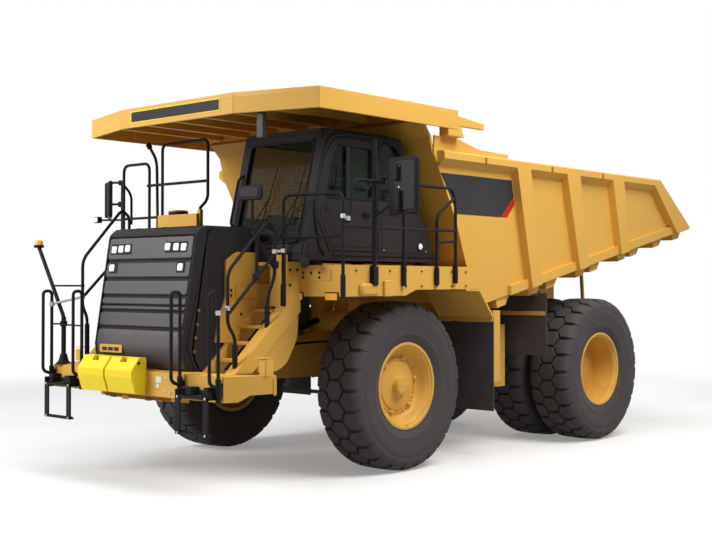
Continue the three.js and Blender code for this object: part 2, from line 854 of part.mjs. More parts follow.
/** The intake's front panel, the duct behind it, its round cap and the stand for the guard's post. */
const intakeBox = joined([
  box(-960, -190, BOX_Y, BOX_Y + 50, DECK_TOP - 5, BOX_TOP),
  box(-900, -300, BOX_Y + 45, -1385, DECK_TOP - 5, DUCT_TOP),
  bar([-740, -1500, DUCT_TOP - 5], [-740, -1500, BOX_TOP + 65], 95, 16),
  bar([-740, -1500, BOX_TOP + 10], [-740, -1500, BOX_TOP + 60], 125, 16),
  box(-425, -375, -1445, -1395, DUCT_TOP - 5, STAND_TOP),
]);
add("right_deck", joined([rightDeck, intakeBox]), yellowPaint());

/** The tall guard that stands across the right deck, with the loop and the bent post beside it. */
function tallGuard() {
  const y = GUARD_Y;
  const foot = DECK_TOP + GAP;
  return joined([
    tube([
      [-1165, y, foot],
      [-1165, y, GUARD_TOP],
      [-253, y, GUARD_TOP],
      [-253, y, 3390],
      [-400, y, 3290],
      [-400, y, STAND_TOP + GAP],
    ]),
    tube([
      [-1480, y, 3630],
      [-253, y, 3630],
    ]),
    tube([
      [-1250, y, foot + 3],
      [-1285, y, 3960],
      [-1450, y, 4160],
    ]),
    bar([-1430, y, 4136], [-1470, y, 4184], TUBE + 14, 8),
    tube([
      [-1440, y, foot],
      [-1440, y, 3930],
      [-2000, y, 3930],
      [-2000, y, foot],
    ]),
    tube([
      [-1165, y, 3200],
      [-2050, y, 3200],
      [-RAIL_X, -1320, 3200],
    ]),
  ]);
}

/** The side rail, the mirror's pole and the turned-in mirror of the right side. */
function rightRail() {
  const x = -RAIL_X;
  const poleY = -1320;
  const middle = [-2550, -1255];
  const along = [0.821, -0.571];
  const across = [0.571, 0.821];
  const corner = (a, b) => [
    middle[0] + a * along[0] + b * across[0],
    middle[1] + a * along[1] + b * across[1],
  ];
  const half = (MIRROR_REACH + middle[0] - MIRROR_HALF_THICK * across[0]) / along[0];
  const face = [
    corner(-half, -MIRROR_HALF_THICK),
    corner(half, -MIRROR_HALF_THICK),
    corner(half, MIRROR_HALF_THICK),
    corner(-half, MIRROR_HALF_THICK),
  ];
  const arm = (z) => bar([x, poleY, z], [...corner(half - 60, 0), z], TUBE - 3, 6);
  return joined([
    mirrored(sideRail(poleY + 40, 3060, 2800)),
    sleeve(x, poleY, 2290, 2540),
    bar([x, poleY, 2300], [x, poleY, 3745], TUBE + 6, 8),
    tube([
      [x, -1170, 3140],
      [x, -1170, 3560],
      [x, poleY, 3700],
    ]),
    arm(3720),
    arm(3420),
    slabZ(face, 3240, 3750),
    bar([x, poleY, 3200], [-2500, -1490, 3200], TUBE - 5, 6),
    box(-2570, -2450, -1530, -1450, 3160, 3250),
  ]);
}
add("right_deck_handrail", joined([rightRail(), tallGuard()]), tubeBlack());

/** The beacon's pole on the bumper, tied to both grab rails. */
function beacon() {
  const x = -1460;
  const y = BUMPER_Y + 50;
  return joined([
    bar([x, y, BUMPER_TOP + GAP], [x, y, 1400], 65, 12),
    bar([x, y, 1380], [x, y, 1890], 32, 10),
    bar([x, y, 1860], [x - 560, y, 2780], 25, 10),
    bar([x - 560, y, 2760], [x - 560, y, 2880], 60, 12),
    bar([x, y, 1800], [-GRAB_OUT, GRAB_Y, 1800], 10, 8),
    bar([x, y, 1795], [-GRAB_IN, GRAB_Y, 1795], 10, 8),
  ]);
}
add("right_ladder", joined([mirrored(ladderSet), beacon()]), tubeBlack());

// ---- Cab ----
const SILL = CAB_FLOOR + 60;

/** The cab's side outline in (y, z), drawn in by a margin. */
function cabSide(margin = 0) {
  const m = margin;
  return [
    [CAB_FRONT_LOW + m, SILL + m],
    [CAB_FRONT_TOP + m * 1.3, CAB_ROOF - m],
    [CAB_REAR_TOP - m, CAB_ROOF - m],
    [CAB_REAR_TOP + 170 - m, 3860],
    [CAB_REAR_LOW - 330 - m, 3230],
    [CAB_REAR_LOW - m, SILL + m],
  ];
}

const roofY = (z) => THREE.MathUtils.mapLinear(z, SILL, CAB_ROOF, CAB_FRONT_LOW, CAB_FRONT_TOP);
const DOOR_REAR = -400;
const DOOR_LOW = SILL + 60;
const DOOR_TOP = CAB_ROOF - 70;
const doorOutline = [
  [-1240, DOOR_LOW],
  [-1500, 3190],
  [-1330, 3800],
  [-1170, DOOR_TOP - 40],
  [-1060, DOOR_TOP],
  [DOOR_REAR, DOOR_TOP],
  [DOOR_REAR, DOOR_LOW],
];

/** An outline moved towards its middle by a distance, along each edge's normal. */
function inset(points, d) {
  const pts = points.map((p) => new THREE.Vector2(p[0], p[1]));
  const turn = THREE.ShapeUtils.isClockWise(pts) ? -1 : 1;
  return pts.map((p, i) => {
    const a = pts[(i + pts.length - 1) % pts.length];
    const b = pts[(i + 1) % pts.length];
    const e1 = p.clone().sub(a).normalize();
    const e2 = b.clone().sub(p).normalize();
    const n1 = new THREE.Vector2(-e1.y, e1.x).multiplyScalar(turn);
    const n2 = new THREE.Vector2(-e2.y, e2.x).multiplyScalar(turn);
    const k = 1 + n1.dot(n2);
    return [p.x + ((n1.x + n2.x) * d) / k, p.y + ((n1.y + n2.y) * d) / k];
  });
}

const quarterWindow = [
  [DOOR_REAR + 90, 3360],
  [DOOR_REAR + 90, DOOR_TOP - 20],
  [CAB_REAR_TOP - 40, DOOR_TOP - 20],
  [CAB_REAR_TOP + 60, 3850],
  [CAB_REAR_TOP + 250, 3360],
];
const doorWindow = [
  [-1290, 3330],
  [-1190, 3760],
  [-1090, DOOR_TOP - 90],
  [DOOR_REAR - 80, DOOR_TOP - 90],
  [DOOR_REAR - 80, 3330],
];
const sideWindow = [
  [-1360, 3130],
  [-1190, DOOR_TOP - 20],
  [CAB_REAR_TOP - 60, DOOR_TOP - 20],
  [CAB_REAR_TOP + 200, 3130],
];

add(
  "cab_floor",
  joined([
    box(CAB_RIGHT, CAB_LEFT, CAB_FRONT_LOW, CAB_REAR_LOW, CAB_FLOOR, SILL - GAP),
    box(
      CAB_RIGHT + 60,
      CAB_RIGHT + 180,
      CAB_FRONT_LOW + 250,
      CAB_FRONT_LOW + 370,
      DECK_TOP + GAP,
      CAB_FLOOR + 5,
    ),
    box(
      CAB_LEFT - 180,
      CAB_LEFT - 60,
      CAB_FRONT_LOW + 250,
      CAB_FRONT_LOW + 370,
      DECK_TOP + GAP,
      CAB_FLOOR + 5,
    ),
    box(
      CAB_RIGHT + 60,
      CAB_RIGHT + 180,
      CAB_REAR_LOW - 200,
      CAB_REAR_LOW - 80,
      DECK_TOP + GAP,
      CAB_FLOOR + 5,
    ),
    box(CAB_LEFT - 180, CAB_LEFT - 60, CAB_REAR_LOW - 200, CAB_REAR_LOW - 80, DECK_TOP + GAP, CAB_FLOOR + 5),
  ]),
  blackPaint(),
);
const leftWall = slabX(cabSide(), CAB_LEFT - CAB_WALL, CAB_LEFT)
  .subtract(slabX(inset(doorOutline, -8), CAB_LEFT - 200, CAB_LEFT + 50))
  .subtract(slabX(quarterWindow, CAB_LEFT - 200, CAB_LEFT + 50));
const HINGE_X = CAB_LEFT + 24;
const HINGE_Y = DOOR_REAR - 6;
const HINGE_HEIGHTS = [2950, 3600];
const HINGE_LENGTH = 100;
/** A hinge barrel at a height, with the leaf that joins it to a panel on one side. */
function hinge(z, side) {
  return joined([
    bar([HINGE_X, HINGE_Y, z], [HINGE_X, HINGE_Y, z + HINGE_LENGTH], 16, 8),
    box(CAB_LEFT - 5, HINGE_X, HINGE_Y, HINGE_Y + side * 40, z, z + HINGE_LENGTH),
  ]);
}
const fixedHinges = HINGE_HEIGHTS.map((z) => hinge(z + HINGE_LENGTH + RUNNING, 1).subtract(
  box(CAB_LEFT - 100, CAB_LEFT + 7, HINGE_Y - 200, DOOR_REAR + 8, 0, 5000),
));
add("cab_left_side", joined([leftWall, ...fixedHinges]), blackPaint());
const rightWall = slabX(cabSide(), CAB_RIGHT, CAB_RIGHT + CAB_WALL).subtract(
  slabX(sideWindow, CAB_RIGHT - 50, CAB_RIGHT + 200),
);
add("cab_right_side", rightWall, blackPaint());

const INNER_L = CAB_LEFT - CAB_WALL - GAP;
const INNER_R = CAB_RIGHT + CAB_WALL + GAP;
const SCREEN_LOW = 2790;
const SCREEN_TOP = CAB_ROOF - 110;

/** A slab that follows the leaning front of the cab, between two heights. */
function frontSlab(z0, z1, x0, x1, back, deep) {
  return slabX(
    [
      [roofY(z0) + back, z0],
      [roofY(z1) + back, z1],
      [roofY(z1) + back + deep, z1],
      [roofY(z0) + back + deep, z0],
    ],
    x0,
    x1,
  );
}
const cabFront = frontSlab(SILL, CAB_ROOF - CAB_WALL - GAP, INNER_R, INNER_L, 0, CAB_WALL).subtract(
  frontSlab(SCREEN_LOW, SCREEN_TOP, INNER_R + 70, INNER_L - 70, -50, CAB_WALL + 100),
);
add("cab_front_frame", cabFront, blackPaint());
add(
  "windscreen",
  frontSlab(SCREEN_LOW + GAP, SCREEN_TOP - GAP, INNER_R + 70 + GAP, INNER_L - 70 - GAP, 20, GLASS),
  windowGlass(),
);

const rearOuter = cabSide().slice(2);
const rearInner = cabSide(CAB_WALL).slice(2);
const roofCut = box(-5000, 5000, -5000, 5000, CAB_ROOF - CAB_WALL - GAP, 6000);
const rearWindowBox = box(INNER_R + 160, INNER_L - 160, CAB_REAR_TOP - 300, CAB_REAR_LOW, 3300, 3780);
const rearWall = slabX([...rearOuter, ...rearInner.reverse()], INNER_R, INNER_L)
  .subtract(roofCut)
  .subtract(rearWindowBox);
add("cab_rear_wall", rearWall, blackPaint());
const rearPane = slabX(
  [
    [rearLine(3300) - 30, 3300 + GAP],
    [rearLine(3300) - 30 + GLASS, 3300 + GAP],
    [rearLine(3780) - 30 + GLASS, 3780 - GAP],
    [rearLine(3780) - 30, 3780 - GAP],
  ],
  INNER_R + 160 + GAP,
  INNER_L - 160 - GAP,
);
add("cab_rear_window", rearPane, windowGlass());

function rearLine(z) {
  return THREE.MathUtils.mapLinear(z, 3230, 3860, CAB_REAR_LOW - 330, CAB_REAR_TOP + 170);
}

add(
  "cab_roof",
  box(INNER_R, INNER_L, CAB_FRONT_TOP - 18, CAB_REAR_TOP, CAB_ROOF - CAB_WALL, CAB_ROOF + 20),
  blackPaint(),
);
add(
  "cab_quarter_window",
  slabX(inset(quarterWindow, GAP), CAB_LEFT - 34, CAB_LEFT - 34 + GLASS),
  windowGlass(),
);
add("cab_right_window", slabX(inset(sideWindow, GAP), CAB_RIGHT + 26, CAB_RIGHT + 26 + GLASS), windowGlass());

// ---- Cab door ----
const doorPanel = slabX(doorOutline, CAB_LEFT - CAB_WALL + 10, CAB_LEFT + 6).subtract(
  slabX(doorWindow, CAB_LEFT - 200, CAB_LEFT + 100),
);
add("cab_door", joined([doorPanel, ...HINGE_HEIGHTS.map((z) => hinge(z, -1))]), blackPaint());
add(
  "cab_door_window",
  slabX(inset(doorWindow, GAP), CAB_LEFT - 30, CAB_LEFT - 30 + GLASS),
  windowGlass(),
);

// ---- Cab inside ----
const SEAT_X = 1080;
const SEAT_Y = -330;
add(
  "driver_seat",
  joined([
    box(SEAT_X - 150, SEAT_X + 150, SEAT_Y - 200, SEAT_Y + 150, SILL, SILL + 320),
    box(SEAT_X - 260, SEAT_X + 260, SEAT_Y - 280, SEAT_Y + 230, SILL + 300, SILL + 440),
    box(SEAT_X - 250, SEAT_X + 250, SEAT_Y + 130, SEAT_Y + 260, SILL + 400, SILL + 1050),
    box(SEAT_X - 140, SEAT_X + 140, SEAT_Y + 150, SEAT_Y + 240, SILL + 1040, SILL + 1230),
  ]),
  tealCloth(),
);
add(
  "dashboard",
  joined([
    slabX(
      [
        [roofY(SILL) + 75, SILL],
        [roofY(2950) + 75, 2950],
        [roofY(2950) + 420, 3020],
        [roofY(2950) + 470, 2920],
        [roofY(SILL) + 330, SILL],
      ],
      INNER_R + 80,
      INNER_L - 80,
    ),
    bar([SEAT_X, -1230, 2820], [SEAT_X, -845, 3195], 28, 8),
    ring([SEAT_X, -850, 3190], 190, 20, -46),
    bar([SEAT_X - 185, -850, 3190], [SEAT_X + 185, -850, 3190], 14, 8),
  ]),
  darkPlastic(),
);

/** A steering-wheel ring that lies across X and leans back by an angle. */
function ring(centre, radius, thick, lean) {
  const g = new THREE.TorusGeometry(radius, thick, 8, 20);
  g.rotateX(THREE.MathUtils.degToRad(lean));
  g.translate(...centre);
  return solid(g);
}

// ---- Tanks ----
const TANK_IN = 730; // outboard of the hoist cylinders
const TANK_FRONT = 1620;

/** A tank outboard of a frame rail, on two brackets. */
function tank(outer, rear, low) {
  const bracket = (y) => box(RAIL_OUT + GAP, TANK_IN + 10, y, y + 110, 1160, 1330);
  return joined([box(TANK_IN, outer, TANK_FRONT, rear, low, 1740), bracket(1660), bracket(2080)]);
}
const tankShield = joined([
  box(1440, 2000, TANK_FRONT + 20, TANK_FRONT + 80, 1010, 1960),
  box(1970, 2000, TANK_FRONT + 20, TANK_FRONT + 180, 1010, 1960),
]);
add("fuel_tank", joined([tank(1480, 2660, 860), tankShield]), yellowPaint());
add("hydraulic_tank", mirrored(joined([tank(1480, 2620, 900), tankShield])), yellowPaint());

// ---- Rear axle ----
const AXLE_Y = WHEELBASE;
const HUB_MID = REAR_OUTER_X - DUAL_SPACING / 2;
const HUB_BORE_END = 190; // past the middle of the dual hub
const REAR_SPINDLE = 190;

function rearAxle() {
  const half = [
    [0, 0],
    [430, 0],
    [430, 120],
    [330, 300],
    [250, 420],
    [250, 560],
    [400, 570],
    [400, HUB_MID - DUAL_SPACING / 2 - RIM_HALF - 20],
    [REAR_SPINDLE, HUB_MID - DUAL_SPACING / 2 - RIM_HALF + 60],
    [REAR_SPINDLE, HUB_MID + HUB_BORE_END - RUNNING],
    [0, HUB_MID + HUB_BORE_END - RUNNING],
  ];
  const side = turned(half, 0, AXLE_Y, AXLE_Z);
  const arm = slabZ(
    [
      [-330, AXLE_Y - 200],
      [-90, A_FRAME_Y],
      [90, A_FRAME_Y],
      [330, AXLE_Y - 200],
    ],
    920,
    1120,
  );
  const nose = box(-90, 90, A_FRAME_Y - 170 + GAP, A_FRAME_Y + 60, 900, 1290);
  const strut = bar([200, AXLE_Y + 380, AXLE_Z], [200, PIVOT_Y - 150, PIVOT_Z - 130 - 20], 85, 12);
  const foot = box(110, 290, AXLE_Y + 200, AXLE_Y + 470, AXLE_Z - 130, AXLE_Z + 60);
  return joined([side, mirrored(side), arm, nose, strut, mirrored(strut), foot, mirrored(foot)]);
}
const frameTube = bar([-500, PIVOT_Y - 60, PIVOT_Z], [500, PIVOT_Y - 60, PIVOT_Z], 130 + GAP, 16);
add("rear_axle", rearAxle().subtract(frameTube), yellowPaint());

// ---- Steering knuckles and tie rod ----
const FRONT_BORE_END = 90;

function knuckle() {
  const rodTop = STRUT_FOOT + STRUT_BORE_DEPTH - RUNNING;
  const rod = bar([KINGPIN_X, 0, AXLE_Z], [KINGPIN_X, 0, rodTop], ROD_RADIUS, 32);
  const block = box(KINGPIN_X - 120, KINGPIN_X + 120, -140, 140, TIE_ROD_Z - 70, KNUCKLE_TOP);
  const spindle = turned(
    [
      [0, 0],
      [150, 0],
      [150, 150],
      [SPINDLE_RADIUS, 230],
      [SPINDLE_RADIUS, FRONT_WHEEL_X + FRONT_BORE_END - RUNNING - KINGPIN_X],
      [0, FRONT_WHEEL_X + FRONT_BORE_END - RUNNING - KINGPIN_X],
    ],
    KINGPIN_X,
    0,
    AXLE_Z,
  );
  const arm = box(KINGPIN_X - 45, KINGPIN_X + 45, 100, STEERING_ARM + 50, TIE_ROD_Z - 60, TIE_ROD_Z - 30);
  const pin = bar(
    [KINGPIN_X, STEERING_ARM, TIE_ROD_Z - 40],
    [KINGPIN_X, STEERING_ARM, TIE_ROD_Z + 35],
    25,
    16,
  );
  return joined([rod, block, spindle, arm, pin]);
}
addPair("left_steering_knuckle", "right_steering_knuckle", knuckle(), castGrey);

function tieRod() {
  const eye = (
    x) => bar([x, STEERING_ARM, TIE_ROD_Z - 30 + RUNNING],
    [x, STEERING_ARM, TIE_ROD_Z + 30],
    50,
    16,
  );
  const hole = (x) => bar([x, STEERING_ARM, 0], [x, STEERING_ARM, 2000], 25.8, 16);
  const rod = bar(
    [-KINGPIN_X + 10, STEERING_ARM, TIE_ROD_Z],
    [KINGPIN_X - 10, STEERING_ARM, TIE_ROD_Z],
    26,
    12,
  );
  return joined([rod, eye(KINGPIN_X), eye(-KINGPIN_X)]).subtract(hole(KINGPIN_X)).subtract(hole(-KINGPIN_X));
}
add("tie_rod", tieRod(), castGrey());

// ---- Wheels ----
const tyreProfile = [
  [SEAT_RADIUS + GAP, -RIM_HALF + 45],
  [LIP_RADIUS + 4, -RIM_HALF + 5],
  [660, -305],
  [800, -TYRE_HALF],
  [940, -TYRE_HALF + 8],
  [1020, -TYRE_HALF + 35],
  [TYRE_RADIUS, -TREAD_HALF],
  [TYRE_RADIUS, TREAD_HALF],
  [1020, TYRE_HALF - 35],
  [940, TYRE_HALF - 8],
  [800, TYRE_HALF],
  [660, 305],
  [LIP_RADIUS + 4, RIM_HALF - 5],
  [SEAT_RADIUS + GAP, RIM_HALF - 45],
  [SEAT_RADIUS + GAP, -RIM_HALF + 45],
];
const frontRim = [
  [0, 212],
  [112, 200],
  [118, 125],
  [310, 115],
  [400, 90],
  [455, 130],
  [505, RIM_HALF],
  [LIP_RADIUS, RIM_HALF],
  [SEAT_RADIUS, RIM_HALF - 40],
  [SEAT_RADIUS, -RIM_HALF + 40],
  [LIP_RADIUS, -RIM_HALF],
  [500, -RIM_HALF],
  [455, 20],
  [200, 40],
  [170, -60],
  [SPINDLE_RADIUS + 1.6, -60],
  [SPINDLE_RADIUS + 1.6, FRONT_BORE_END],
  [0, FRONT_BORE_END],
];
const D = DUAL_SPACING / 2;
const rearRim = [
  [0, 330],
  [240, 320],
  [335, 300],
  [345, 265],
  [465, 265],
  [478, D + RIM_HALF - 90],
  [500, D + RIM_HALF],
  [LIP_RADIUS, D + RIM_HALF],
  [SEAT_RADIUS, D + RIM_HALF - 40],
  [SEAT_RADIUS, D - RIM_HALF + 40],
  [LIP_RADIUS, D - RIM_HALF],
  [470, D - RIM_HALF],
  [470, -D + RIM_HALF],
  [LIP_RADIUS, -D + RIM_HALF],
  [SEAT_RADIUS, -D + RIM_HALF - 40],
  [SEAT_RADIUS, -D - RIM_HALF + 40],
  [LIP_RADIUS, -D - RIM_HALF],
  [500, -D - RIM_HALF],
  [470, -150],
  [REAR_SPINDLE + 3, -120],
  [REAR_SPINDLE + 3, HUB_BORE_END],
  [0, HUB_BORE_END],
];
addPair("left_front_rim", "right_front_rim", turned(frontRim, FRONT_WHEEL_X, 0, AXLE_Z), yellowPaint);
addPair("left_front_tyre", "right_front_tyre", turned(tyreProfile, FRONT_WHEEL_X, 0, AXLE_Z), tyreRubber);
addPair("left_rear_rims", "right_rear_rims", turned(rearRim, HUB_MID, AXLE_Y, AXLE_Z), yellowPaint);
addPair(
  "left_rear_outer_tyre",
  "right_rear_outer_tyre",
  turned(tyreProfile, REAR_OUTER_X, AXLE_Y, AXLE_Z),
  tyreRubber,
);
addPair(
  "left_rear_inner_tyre",
  "right_rear_inner_tyre",
  turned(tyreProfile, REAR_OUTER_X - DUAL_SPACING, AXLE_Y, AXLE_Z),
  tyreRubber,
);

// ---- Dump body ----
const FLOOR_SLOPE = (TAIL_Z - FLOOR_FRONT_Z) / (TAIL_Y - FLOOR_FRONT_Y);
const floorZ = (y) => FLOOR_FRONT_Z + FLOOR_SLOPE * (y - FLOOR_FRONT_Y);
const FLOOR_THICK = 40;
const BOLSTER = 130;
/** The front wall's line, from the floor up to the canopy. */
const frontWallLine = [
  [FLOOR_FRONT_Y, FLOOR_FRONT_Z],
  [1050, 2526],
  [810, 3140],
  [360, 3950],
  [300, 4160],
  [120, CANOPY_LOW + 60],
];

function bodyFloor() {
  const plate = slabX(
    [
      [FLOOR_FRONT_Y, FLOOR_FRONT_Z],
      [TAIL_Y, TAIL_Z],
      [TAIL_Y, TAIL_Z + FLOOR_THICK],
      [FLOOR_FRONT_Y - 36, floorZ(FLOOR_FRONT_Y - 36) + FLOOR_THICK],
    ],
    -WALL_IN + GAP,
    WALL_IN - GAP,
  );
  const parts = [plate];
  const bolsters = [1740, 2511, 2950, 3745, 4140, 4972, 5359, 6114, 6790];
  for (const y of bolsters) {
    parts.push(
      slabX(
        [
          [y, floorZ(y) + 5],
          [y + 330, floorZ(y + 330) + 5],
          [y + 220, floorZ(y + 220) - BOLSTER],
          [y + 20, floorZ(y + 20) - BOLSTER],
        ],
        -WALL_IN - 60,
        WALL_IN + 60,
      ).subtract(sideCut),
    );
  }
  const rail = slabX(
    [
      [1700, floorZ(1700) + 5],
      [PIVOT_Y + 420, floorZ(PIVOT_Y + 420) + 5],
      [PIVOT_Y + 200, RAIL_TOP + 60],
      [PIVOT_Y + 60, RAIL_TOP + 18],
      [2000, RAIL_TOP + 18],
    ],
    RAIL_IN,
    RAIL_OUT,
  );
  const ear = slabX(
    [
      [PIVOT_Y - 260, RAIL_TOP + 140],
      [PIVOT_Y - 110, PIVOT_Z - 60],
      [PIVOT_Y - 50, PIVOT_Z - 115],
      [PIVOT_Y + 50, PIVOT_Z - 115],
      [PIVOT_Y + 110, PIVOT_Z - 60],
      [PIVOT_Y + 300, RAIL_TOP + 140],
      [PIVOT_Y + 300, floorZ(PIVOT_Y + 300) + 5],
      [PIVOT_Y - 260, floorZ(PIVOT_Y - 260) + 5],
    ],
    RAIL_OUT + CLEAR,
    RAIL_OUT + CLEAR + 70,
  ).subtract(bar([0, PIVOT_Y, PIVOT_Z], [1000, PIVOT_Y, PIVOT_Z], PIVOT_PIN + 0.9, 24));
  const web = slabX(
    [
      [PIVOT_Y - 260, RAIL_TOP + 140],
      [PIVOT_Y + 150, RAIL_TOP + 140],
      [PIVOT_Y + 300, floorZ(PIVOT_Y + 300) + 5],
      [PIVOT_Y - 260, floorZ(PIVOT_Y - 260) + 5],
    ],
    RAIL_OUT - 5,
    RAIL_OUT + CLEAR + 5,
  );
  const hoistLug = (x) =>
    slabX(
      [
        [HOIST_HIGH[0] - 70, HOIST_HIGH[1] - 70],
        [HOIST_HIGH[0] + 70, HOIST_HIGH[1] - 70],
        [HOIST_HIGH[0] + 100, floorZ(HOIST_HIGH[0] + 100) + 5],
        [HOIST_HIGH[0] - 100, floorZ(HOIST_HIGH[0] - 100) + 5],
      ],
      x,
      x + LUG_PLATE,
    );
  const ejector = slabX(
    [
      [4740, floorZ(4740) + 5],
      [4780, floorZ(4780) + 5],
      [4880, 1780],
      [4840, 1780],
    ],
    HUB_MID - 22,
    HUB_MID + 22,
  );
  const half = joined(
    [rail, ear, web, hoistLug(HOIST_X - LUG_REACH), hoistLug(HOIST_X + LUG_REACH - LUG_PLATE), ejector],
  );
  return joined([...parts, half, mirrored(half)]);
}
const sideCut = joined([
  box(WALL_IN - GAP, 3000, -1000, 9000, FLOOR_FRONT_Z - 2000, 6000),
  box(-3000, -WALL_IN + GAP, -1000, 9000, FLOOR_FRONT_Z - 2000, 6000),
]);
add("body_floor", bodyFloor(), yellowPaint());

/** One side wall, with its top rail, its three posts, its rear frame and its lower rail. */
function bodySide() {
  const front = frontWallLine;
  const outlineYZ = [
    [FLOOR_FRONT_Y, FLOOR_FRONT_Z],
    [TAIL_Y, TAIL_Z],
    [TAIL_Y, TAIL_Z + 40],
    [SIDE_REAR_TOP_Y, SIDE_TOP],
    [1984, SIDE_TOP],
    [1984, 4070],
    [1315, 4084],
    [830, 4190],
    [front[3][0] + 10, 4190],
    front[3],
    front[2],
    front[1],
  ];
  const wall = slabX(outlineYZ, WALL_IN, WALL_OUT);
  const topRail = slabY(
    [
      [WALL_IN, SIDE_TOP - 200],
      [WALL_OUT, SIDE_TOP - 200],
      [BODY_HALF, SIDE_TOP - 105],
      [BODY_HALF, SIDE_TOP - 20],
      [BODY_HALF - 30, SIDE_TOP],
      [WALL_IN, SIDE_TOP],
    ],
    420,
    SIDE_REAR_TOP_Y + 20,
  );
  /** A post that tapers from the top rail down to the floor, between its front and rear edges. */
  const post = (topFront, topRear, lowFront, lowRear) =>
    slabX(
      [
        [topFront, SIDE_TOP - 90],
        [topRear, SIDE_TOP - 90],
        [lowRear, floorZ(lowRear) + 2],
        [lowFront, floorZ(lowFront) + 2],
      ],
      WALL_IN,
      BODY_HALF,
    );
  const posts = [
    post(2036, 2363, 2408, 2647),
    post(3298, 3656, 3656, 3886),
    post(4603, 4938, 4863, 5108),
  ];
  const rearFrame = slabX(
    [
      [SIDE_REAR_TOP_Y - 190, SIDE_TOP - 90],
      [SIDE_REAR_TOP_Y, SIDE_TOP],
      [TAIL_Y, TAIL_Z + 40],
      [TAIL_Y, TAIL_Z],
      [TAIL_Y - 420, floorZ(TAIL_Y - 420)],
    ],
    WALL_IN,
    BODY_HALF,
  );
  const lowRail = slabX(
    [
      [FLOOR_FRONT_Y + 500, floorZ(FLOOR_FRONT_Y + 500)],
      [TAIL_Y, TAIL_Z],
      [TAIL_Y - 80, floorZ(TAIL_Y - 80) + 130],
      [FLOOR_FRONT_Y + 500, floorZ(FLOOR_FRONT_Y + 500) + 130],
    ],
    WALL_IN,
    BODY_HALF - 60,
  );
  const frontEdge = box(0, 3000, -1000, 9000, 0, 6000).subtract(
    slabX(
      [
        [-1000, 6000],
        [-1000, 1000],
        [FLOOR_FRONT_Y, FLOOR_FRONT_Z],
        front[1],
        front[2],
        front[3],
        [front[3][0], 6000],
      ],
      -10,
      3010,
    ),
  );
  return joined([wall, topRail.intersect(frontEdge), ...posts, rearFrame, lowRail]);
}
addPair("body_left_side", "body_right_side", bodySide(), yellowPaint);

function bodyFrontWall() {
  const line = frontWallLine;
  const back = line.map((p) => [p[0] + 34, p[1] + 20]);
  const onFloor = (y) => [y, floorZ(y) + FLOOR_THICK + GAP];
  back[0] = onFloor(FLOOR_FRONT_Y + 4);
  const profile = [
    onFloor(FLOOR_FRONT_Y - 36),
    line[1],
    line[2],
    line[3],
    line[4],
    line[5],
    [back[5][0] + 10, CANOPY_LOW + 100],
    back[4],
    back[3],
    back[2],
    back[1],
    back[0],
  ];
  return slabX(profile, -WALL_IN + GAP, WALL_IN - GAP);
}
add("body_front_wall", bodyFrontWall(), yellowPaint());

function canopy() {
  const corner = BODY_HALF + 5;
  const plan = (d, rear) => [
    [-CANOPY_PANEL_HALF, CANOPY_FRONT + d],
    [CANOPY_PANEL_HALF, CANOPY_FRONT + d],
    [corner - d, CANOPY_CORNER_Y + d * 0.7],
    [corner - d, rear],
    [-corner + d, rear],
    [-corner + d, CANOPY_CORNER_Y + d * 0.7],
  ];
  const shell = slabZ(plan(0, CANOPY_REAR), CANOPY_LOW, CANOPY_TOP).subtract(
    slabZ(plan(30, CANOPY_REAR + 100), CANOPY_LOW - 100, CANOPY_TOP - 60),
  );
  const parts = [shell];
  for (let i = -3; i <= 3; i++) {
    parts.push(box(i * 560 - 35, i * 560 + 35, CANOPY_FRONT + 10, 60, CANOPY_TOP - 150, CANOPY_TOP - 50));
  }
  parts.push(box(-corner + 20, corner - 20, 60, CANOPY_REAR, CANOPY_LOW + 100 + GAP, CANOPY_TOP - 50));
  const wing = slabX(
    [
      [CANOPY_REAR - 200, CANOPY_TOP - 100],
      [CANOPY_REAR + 40, CANOPY_TOP - 140],
      [830, 4190 + GAP],
      [500, 4190 + GAP],
    ],
    WALL_IN,
    BODY_HALF,
  );
  const board = slabX(
    [
      [-1170, 4325],
      [-1170, 4480],
      [540, 4470],
      [1260, 4403],
      [1260, 4330],
    ],
    BODY_HALF - 60,
    BODY_HALF + 2,
  );
  return joined([...parts, wing, mirrored(wing), board, mirrored(board)]);
}
add("body_canopy", canopy(), yellowPaint());

const BODY_FLAP_Y = 2800;
const flapTop = (y) => floorZ(y) - BOLSTER - GAP;
addPair(
  "body_left_mudflap",
  "body_right_mudflap",
  joined([
    box(760, 2090, BODY_FLAP_Y, BODY_FLAP_Y + 16, 1310, flapTop(BODY_FLAP_Y) - 20),
    slabX(
      [
        [BODY_FLAP_Y - 160, flapTop(BODY_FLAP_Y - 160)],
        [BODY_FLAP_Y - 160, flapTop(BODY_FLAP_Y) - 60],
        [BODY_FLAP_Y + 50, flapTop(BODY_FLAP_Y) - 60],
        [BODY_FLAP_Y + 50, flapTop(BODY_FLAP_Y + 50)],
      ],
      760,
      1950,
    ),
  ]),
  flapRubber,
);

// ---- Hoist cylinders ----
const hoistDir = new THREE.Vector2(HOIST_HIGH[0] - HOIST_LOW[0], HOIST_HIGH[1] - HOIST_LOW[1]);
const HOIST_CLOSED = hoistDir.length();
hoistDir.normalize();

/** A point on the hoist cylinder's centre line, at a distance from its lower pin. */
const along = (s) => [HOIST_X, HOIST_LOW[0] + hoistDir.x * s, HOIST_LOW[1] + hoistDir.y * s];
const BARREL_END = HOIST_CLOSED - 170;

